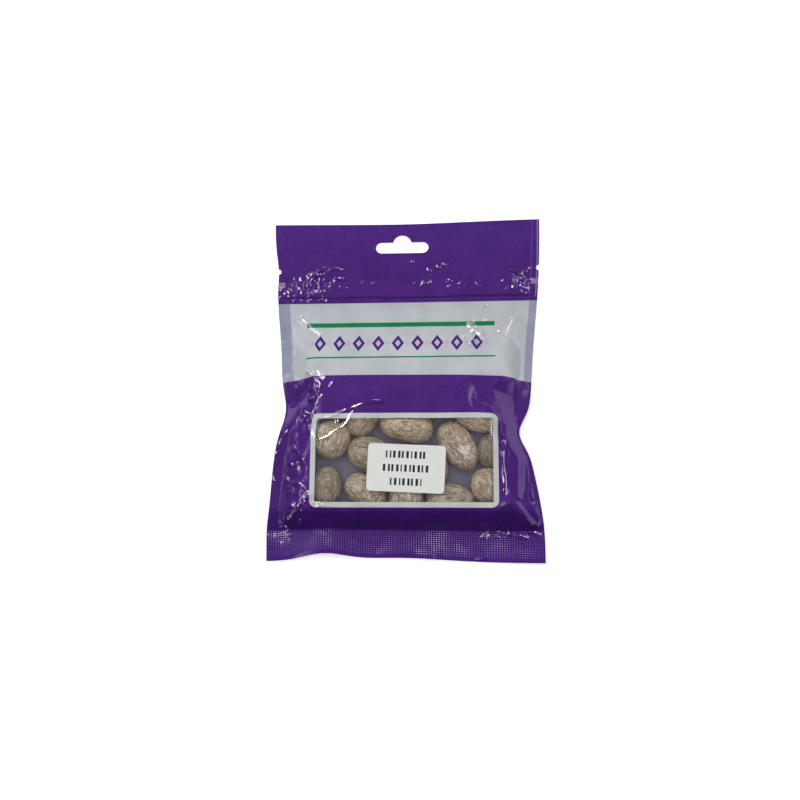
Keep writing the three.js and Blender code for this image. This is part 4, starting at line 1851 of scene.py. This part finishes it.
    def build_back(self, back: Lattice, front_points: Array) -> None:
        """Makes the back film, which is welded to the front film along the side seals.

        The seals' grid lines are those of the front's grid, so that the two films lie on one
        another.

        Args:
            back: The settled back film.
            front_points: The finished front film on its own grid.
        """
        form = self.pillow.outline
        across = lines(
            (-form.half_width, 0),
            (form.left_seal, 0.65),
            (form.right_seal, 1.1),
            (form.half_width, 0.65),
        )
        u, v = np.meshgrid(across, self.grid()[1][:, 0])
        welded = form.side_seals(u) * within(form.bottom_seal, form.zip_foot, (1.5, 1.5), v)
        points = back.at(u, v)
        left_lines = int((across < form.left_seal).sum())
        right_lines = int((across > form.right_seal).sum())
        for strip in (slice(0, left_lines), slice(-right_lines, None)):
            under = front_points[:, strip] - np.array([0, 0, self.thickness + self.weld_gap])
            points[:, strip] += (under - points[:, strip]) * welded[:, strip, None]
        sheet = Shell.around("back_film", points, self.thickness, u, v, inner_share=(1.0, 0.0))
        hand_over(sheet.build(), PrintedFilm().material(self.layout, False))


@dataclass
class BottomSeal:
    """The two films crimped together along the bottom, with a fine grid of pressed points."""

    pillow: Pillow = Pillow()
    pitch: Pair = CRIMP_PITCH
    crimp: float = 0.15
    cells_per_point: int = 5
    wide: Facets = Facets(11, 0.22, 401)
    pleats: tuple[Pleat, ...] = (
        Pleat(((49.4, -76.2), (52, -77), (55.5, -77.4)), 1.4, lift=0.4),
        Pleat(((64, -75.9), (66.5, -76.4), (69.5, -77.4)), 1.2, lift=0.4),
        Pleat(((57, -77.6), (60, -78.2), (63.1, -78.9)), 1.0, lift=0.4),
        Pleat(((44, -76.3), (46.6, -76.6)), 0.9, lift=0.4),
        Pleat(((11, -90.2), (15, -89.4)), 1.2, lift=0.5),
        Pleat(((38, -90), (42.4, -89.2)), 1.0, lift=0.5),
        Pleat(((-63, -76.6), (-60.6, -78.4)), 0.8),
        *strewn(16, (50, -76.9), (16, 1.4), (-10, 40), 2.6, 0.9, 571, 0.25),
        *strewn(12, (-62, -80), (9, 5), (20, 50), 2.2, 0.6, 581, 0.2),
    )
    fine: Facets = Facets(2.4, 0.14, 411)
    # Places bent most, where the crimp is crushed finer, glossier and painted whitish: partly
    # stress whitening, partly painted glints.
    worn_and_glint_places: tuple[tuple[float, float, float, float, float], ...] = (
        (17, -82, 6, 7, 1.0),
        (11, -88, 6, 2.5, 1.0),
        (30, -86, 4, 4, 0.5),
        (48, -83, 7, 5, 0.55),
        (-38.5, -80, 2, 6, 0.9),
        (-43, -78, 3, 3, 0.4),
        (-67, -78.5, 6, 3, 0.9),
        (-62, -84, 3, 4, 0.5),
        (62, -87, 5, 3, 0.4),
        (-12, -88, 5, 2, 0.5),
        (0, -84, 40, 5, 0.22),
    )

    def worn_and_glint(self, u: Array, v: Array) -> Array:
        """How whitish the points are painted, partly stress whitening and partly painted glints:
        bells round the places that were bent most.
        """
        patches = 0.0
        for x, y, across, along, share in self.worn_and_glint_places:
            patches = patches + share * bell(u, x, across) * bell(v, y, along)
        return np.clip(0.1 + patches * (0.75 + 0.35 * noise(3, 47).at(u, v)), 0.03, 1)

    def build(self) -> None:
        """Makes the seal as one closed shell, with small pyramids pressed in from both sides."""
        form = self.pillow.outline
        cell = self.pitch[0] / self.cells_per_point
        u = lines((-form.half_width, 0), (form.half_width, cell))
        v = lines((-form.half_length, 0), (form.bottom_seal, self.pitch[1] / self.cells_per_point))
        u, v = np.meshgrid(u, v)
        du = np.abs((u / self.pitch[0] + 0.5) % 1 - 0.5)
        dv = np.abs((v / self.pitch[1] + 0.5) % 1 - 0.5)
        pyramids = np.clip(1 - 2.2 * (du + dv), 0, 1)
        worn_and_glint = self.worn_and_glint(u, v)
        below_bag = ease(form.bottom_seal, CRIMP_START, v)
        crimped = ease(-form.half_length + 1, -form.half_length + 3, v) * below_bag
        crushed = self.wide.rise(u, v) + self.fine.rise(u, v) * ease(0.3, 1.0, worn_and_glint)
        lift = self.crimp * pyramids * crimped + crushed * below_bag
        front = self.pillow.front(u, v)
        back = self.pillow.back(u, v)
        smooth = front.copy()
        front[..., 2] += lift
        back[..., 2] = np.maximum(np.minimum(back[..., 2] + lift, front[..., 2] - 0.15), 0.05)
        shine = 0.8 * crimped * ease(0.25, 0.8, worn_and_glint)
        folded(front, smooth, self.pleats, shine)
        # This mark paints the crimp's points whitish: partly stress whitening, partly painted
        # glints.
        marks = {"worn_and_glint": worn_and_glint * crimped, "shine": shine}
        seal = Shell("bottom_seal", front, back, u, v, inner_share=(0.0, 0.0), marks=marks)
        hand_over(seal.build(), PrintedFilm().material(Print(), True))


@dataclass
class Header:
    """The press-to-close zip and the flat top of the pouch, with hang hole and tear notches."""

    pillow: Pillow = Pillow()
    groove: Triple = (49.9, 0.8, 0.8)
    ribs: Pair = (53.8, 56.9)
    rib_height: float = 0.12
    rib_width: float = 0.8
    bead_pitch: float = 1.9
    bead_height: float = 0.1
    bead_width: float = 0.5
    flange: Pair = (69.6, 68.2)
    crushed: tuple[Crush, ...] = (
        Crush(-57, 55, 15, 8, Facets(3.4, 0.2, 301, 1.4, 20)),
        Crush(-54, 55, 19, 7, Facets(1.15, 0.26, 311, 1.7), 1.0),
        Crush(62, 55, 9, 8, Facets(3.4, 0.25, 321)),
        Crush(62, 57, 9, 8, Facets(1.15, 0.26, 331, 1.7), 1.0),
        Crush(12, 62, 40, 9, Facets(9, 0.22, 341)),
        Crush(0, 56, 60, 3.5, Facets(1.7, 0.05, 351)),
    )
    pleats: tuple[Pleat, ...] = (
        Pleat(((-53, 60), (-51.6, 61.8), (-47.8, 64.5), (-43.5, 66.4)), 0.9, lift=0.25),
        Pleat(((-51, 61.6), (-45.4, 62.4)), 0.9, lift=0.25),
        Pleat(((-45.2, 62.2), (-42, 64.4)), 0.7),
        Pleat(((-41.8, 65), (-37.4, 66), (-32.4, 63.7)), 0.8, lift=0.2),
        Pleat(((-60, 50.6), (-50.6, 51.8)), 0.9),
        Pleat(((-49, 52.3), (-38.3, 52.1)), 0.7),
        Pleat(((-38.5, 59.6), (-33.2, 59.9)), 0.9, lift=0.3),
        Pleat(((52.6, 67), (55.2, 63.7), (62, 60.8)), 0.9),
        Pleat(((4.4, 70.2), (3.6, 68.2)), 1.0, lift=0.3),
        Pleat(((12.2, 65.6), (13.8, 63.4)), 1.0, lift=0.3),
        Pleat(((17.4, 66.6), (18.8, 65.4)), 1.0, lift=0.3),
        Pleat(((20.4, 67.6), (21.4, 66.8)), 1.0, lift=0.3),
        *strewn(38, (-52, 56), (18, 8), (10, 45), 3.0, 0.5, 541, 0.15),
        *strewn(14, (61, 58), (10, 9), (40, 50), 2.6, 0.5, 551, 0.15),
        *strewn(20, (27, 55.4), (34, 3), (30, 50), 2.0, 0.8, 561, 0.25),
        *strewn(10, (-14, 56), (40, 3), (10, 30), 1.8, 0.7, 621, 0.25),
        *strewn(14, (-52, 52.2), (24, 0.8), (2, 6), 3.2, 0.5, 591, 0.15),
        *strewn(10, (-52, 48.4), (24, 0.6), (0, 8), 2.4, 0.5, 601, 0.2),
    )
    hole: tuple[float, float, float, float] = (-1.9, 77.7, 14.4, 3.3)
    dome: Triple = (-1.9, 80.2, 5.0)
    notch: Pair = (64.6, 1.5)
    cell: float = 0.46

    def cut(self, u: Array, v: Array) -> Array:
        """Signed distance to the hang hole and the notches, below 0 inside them.

        The hole is a round-ended slot joined to a disc, and a notch is a disc on each edge.
        """
        cu, cv, half_length, radius = self.hole
        slot = box_distance(u - cu, v - cv, (half_length, radius), radius)
        dome = np.hypot(u - self.dome[0], v - self.dome[1]) - self.dome[2]
        edge = self.pillow.outline.half_width
        height, size = self.notch
        notches = np.hypot(np.abs(u) - edge, v - height) - size
        return np.minimum(np.minimum(slot, dome), notches)

    def relief(self, u: Array, v: Array) -> Array:
        """How far the zip and its creases stand up from the flat header.

        Two low ribs with rows of small pressed beads, a lap below them that drops steeply towards
        the filling, a step at the top of the zip's flange, and crushed film, most of it at both
        ends.
        """
        out = 0.2 * noise(30, 54).at(u, v) * ease(50, 70, v)
        for rib in self.ribs:
            beads = np.clip(np.cos(2 * np.pi * u / self.bead_pitch), 0, 1) ** 2
            uneven = np.clip(0.7 + 0.6 * noise(7, 56).at(u, v), 0, 2)
            ridge = self.rib_height * bell(v, rib, self.rib_width)
            out += uneven * (ridge + self.bead_height * beads * bell(v, rib, self.bead_width))
        at, drop, width = self.groove
        sway = 0.25 * noise(18, 55).at(u, v)
        out += drop * (ease(at - width, at, v + sway) - ease(at, 60, v))
        out += 0.1 * ease(*self.flange, v) * ease(52, 60, v)
        return out + sum(crush.rise(u, v) for crush in self.crushed)

    def build(self) -> None:
        """Makes the header as one closed shell."""
        form = self.pillow.outline
        u = lines((-form.half_width, 0), (form.half_width, self.cell))
        v = lines((form.zip_foot, 0), (60, 0.36), (70, 0.5), (form.half_length, 0.7))
        u, v = np.meshgrid(u, v)
        relief = self.relief(u, v) * ease(form.zip_foot, form.zip_foot + 1, v)
        kept = trimmed(u, v, self.cut)
        front = self.pillow.front(u, v)
        back = self.pillow.back(u, v)
        lift = relief * (1 - 0.5 * form.side_seals(u))
        smooth = front.copy()
        front[..., 2] += np.maximum(lift, -0.25)
        shine = glossy(self.crushed, u, v)
        folded(front, smooth, self.pleats, shine)
        wave = np.clip(lift, -0.2, 0.5) * ease(58, 66, v)
        back[..., 2] = np.maximum(back[..., 2] + wave, 0.05)
        header = Shell("header", front, back, u, v, kept, (0.0, 0.0), {"shine": shine})
        hand_over(header.build(), PrintedFilm().material(Print(), True))


@dataclass
class NutmegLayer:
    """The nutmegs that show in the window, one piece each."""

    rings: int = 110
    around: int = 190
    furrow: float = 0.34
    furrow_sizes: tuple[tuple[int, int, float], ...] = ((16, 5, 0.3), (40, 9, 0.4), (80, 17, 0.4))
    lump: float = 0.014
    seed: int = 3

    def one(self, nut: Nutmeg, rng: Random) -> tuple[Array, Array, Array, dict[str, Array]]:
        """Points, faces and marks of one nutmeg.

        An ellipsoid with blunt ends, a little egg-shaped and lumpy by slow waves, with a small nub
        at one end. Its furrows are where noises that are stretched along the nutmeg cross 0: depth
        * (1 - |noise|)^3, in three sizes.

        Args:
            nut: Its place and size.
            rng: Random numbers for its own shape.

        Returns:
            Points, faces, flat coordinates and the marks: how deep in a furrow a point lies, how
            much dust and painted glint it has, the nutmeg's tone, and its place in the nutmeg's own
            axes.
        """
        turn, polar = np.meshgrid(
            np.linspace(0, 2 * np.pi, self.around, endpoint=False),
            np.linspace(0, np.pi, self.rings + 1),
        )
        lumps = np.zeros(polar.shape)
        for order in (1, 2, 3, 4):
            phase = rng.uniform(0, 2 * np.pi, 2)
            wave = rng.normal() * np.sin(order * turn + phase[0])
            lumps += wave * np.sin(order * polar + phase[1]) / order
        net = sum(
            share * np.clip(1 - np.abs(self.loop_noise(turn, polar, ring, along, rng)), 0, 1) ** 3
            for ring, along, share in self.furrow_sizes
        )
        ends = np.sin(polar) ** 0.5
        radius = 1 + self.lump * lumps * np.sin(polar)
        depth = self.furrow * (0.55 + 0.85 * nut.dust_and_glint) * (net - 0.35) * ends
        egg = 1 + rng.uniform(-0.05, 0.05) * np.cos(polar)
        along = nut.length / 2 * np.sign(np.cos(polar)) * np.abs(np.cos(polar)) ** 0.92 * radius
        spread = np.sin(polar) ** 0.84 * egg * radius
        beside = (nut.width / 2 - depth) * spread * np.cos(turn)
        height = (nut.half_height - depth) * spread * np.sin(turn)
        along = along - nut.nub * bell(polar, np.pi, 0.14)
        x, y = turned_back(along, beside, (nut.x, nut.y), nut.turn)
        own = np.stack([along, beside, height], -1).reshape(-1, 3)
        points = np.stack([x, y, nut.centre_height + height], -1).reshape(-1, 3)
        flat = np.stack([turn * nut.width / 2, polar * nut.length / 2], -1).reshape(-1, 2)
        # Flecks of dust and painted glints, kept to the tops where the film clings.
        dust_and_glint_share = nut.dust_and_glint * ease(-0.6, 0.4, nut.dust_and_glint_end * along / nut.length * 2)
        dust_and_glint_share = dust_and_glint_share * ease(0.3, 0.8, height / nut.half_height)
        marks = {
            "furrow": (net * ends).ravel(),
            "dust_and_glint_share": dust_and_glint_share.ravel(),
            "tone": np.full(len(points), nut.tone),
            "own": own * MM,
        }
        return points, self.quads(), flat, marks

    @staticmethod
    def loop_noise(turn: Array, polar: Array, around: int, along: int, rng: Random) -> Array:
        """Noise that closes on itself round the nutmeg, with that many hills around and along."""
        values = rng.normal(size=(along + 1, around))
        looped = np.concatenate([values[:, -2:], values, values[:, :3]], axis=1)
        lattice = Lattice((-2, 0), (1, 1), looped)
        warp = 0.02 * around * np.sin(3 * polar + rng.uniform(0, 6))
        column = np.mod(turn / (2 * np.pi) * around + warp, around)
        return lattice.at(column, polar / np.pi * along)

    def quads(self) -> Array:
        """Faces of the rings, closed round the nutmeg. The first and last ring are points."""
        index = np.arange((self.rings + 1) * self.around).reshape(self.rings + 1, self.around)
        after = np.roll(index, -1, axis=1)
        return np.stack([index[:-1], index[1:], after[1:], after[:-1]], -1).reshape(-1, 4)

    def build(self) -> None:
        """Makes the nutmegs."""
        rng = np.random.default_rng(self.seed)
        skin = NutmegSkin().material()
        for number, nut in enumerate(LAYER, 1):
            points, faces, flat, marks = self.one(nut, rng)
            made = mesh_object(f"nutmeg_{number}", points, faces, flat, marks, 180)
            self.close_poles(made)
            hand_over(made, skin)

    @staticmethod
    def close_poles(piece: bpy.types.Object) -> None:
        """Merges the points of the first and last ring, which lie on each other."""
        work = bmesh.new()
        work.from_mesh(piece.data)
        bmesh.ops.remove_doubles(work, verts=work.verts, dist=1e-7)
        bmesh.ops.recalc_face_normals(work, faces=work.faces)
        work.to_mesh(piece.data)
        work.free()
        piece.data.polygons.foreach_set("use_smooth", np.ones(len(piece.data.polygons), bool))


@dataclass
class Sticker:
    """The paper sticker on the window."""

    film: Lattice
    place: StickerPlace = STICKER
    thickness: float = 0.14
    gap: float = 0.16
    cell: float = 0.5

    def build(self) -> None:
        """Makes the sticker as a thin shell that follows the film under it."""
        half = (self.place.width / 2, self.place.height / 2)
        u, v = np.meshgrid(*(lines((-reach, 0), (reach, self.cell)) for reach in half))
        kept = trimmed(u, v, lambda a, b: -box_distance(a, b, half, self.place.corner))
        x, y = turned_back(u, v, (self.place.x, self.place.y), self.place.turn)
        under = self.film.at(x, y)
        middle = under + normals_of(under) * (self.gap + self.thickness / 2)
        piece = Shell.around("sticker_sheet", middle, self.thickness, u, v, kept=kept)
        hand_over(piece.build(), StickerPaper().material(), Node.STICKER)


# --- Studio ---


@dataclass
class Studio:
    """Pale floor, soft light, small bright lamps for the creases, and the camera."""

    camera_turn: Triple = (8.99, 4.63, 0.33)
    lens: float = 40.5
    sky_dark: float = 0.14
    sky_bright: float = 0.62
    lamps: tuple[Lamp, ...] = SOFT_LAMPS + STRIPS + BOXES

    def build(self) -> None:
        """Adds floor, sky, lamps and camera."""
        self.floor()
        bpy.context.scene.world = self.sky()
        bpy.context.scene.world.cycles_visibility.glossy = False
        for lamp in self.lamps:
            lamp.build()
        data = bpy.data.cameras.new("camera")
        data.lens = self.lens
        data.sensor_width = 36
        data.clip_start = 0.01
        camera = bpy.data.objects.new("camera", data)
        camera.location = CAMERA_PLACE
        camera.rotation_euler = tuple(math.radians(angle) for angle in self.camera_turn)
        bpy.context.collection.objects.link(camera)
        bpy.context.scene.camera = camera
        bpy.context.scene.view_settings.view_transform = "Standard"

    def sky(self) -> bpy.types.World:
        """Soft light that is brighter from behind the header than from the camera's side."""
        graph = Graph(bpy.data.worlds.new("sky"))
        direction = graph.node("TexCoord", out="Generated")
        _, depth, _ = graph.axes(direction)
        tone = graph.mix(depth.ramp(-0.4, 0.9), (self.sky_dark,) * 3, (self.sky_bright,) * 3)
        inputs = {"Color": tone, "Strength": 1.0}
        return graph.finish(graph.node("Background", inputs=inputs))

    @staticmethod
    def floor() -> None:
        """A wide plain white floor, which the gloss doesn't mirror."""
        mesh = bpy.data.meshes.new("floor")
        reach = 4.0
        corners = [(-reach, -reach, 0), (reach, -reach, 0), (reach, reach, 0), (-reach, reach, 0)]
        mesh.from_pydata(corners, [], [(0, 1, 2, 3)])
        floor = bpy.data.objects.new("floor", mesh)
        graph = Graph.of_material("floor_white")
        inputs = {
            "Base Color": (0.97, 0.97, 0.97, 1),
            "Roughness": 0.9,
            "Emission Color": (1, 1, 1, 1),
            "Emission Strength": 0.45,
        }
        mesh.materials.append(graph.finish(graph.principled(inputs)))
        bpy.context.collection.objects.link(floor)
        floor.visible_glossy = False


def main() -> None:
    """Builds the pouch from the bottom up, then the studio."""
    logging.basicConfig(level=logging.INFO, format="%(name)s %(message)s")
    film = Pocket().build()
    BottomSeal().build()
    Header().build()
    NutmegLayer().build()
    Sticker(film).build()
    Studio().build()


if __name__ == "__main__":
    main()
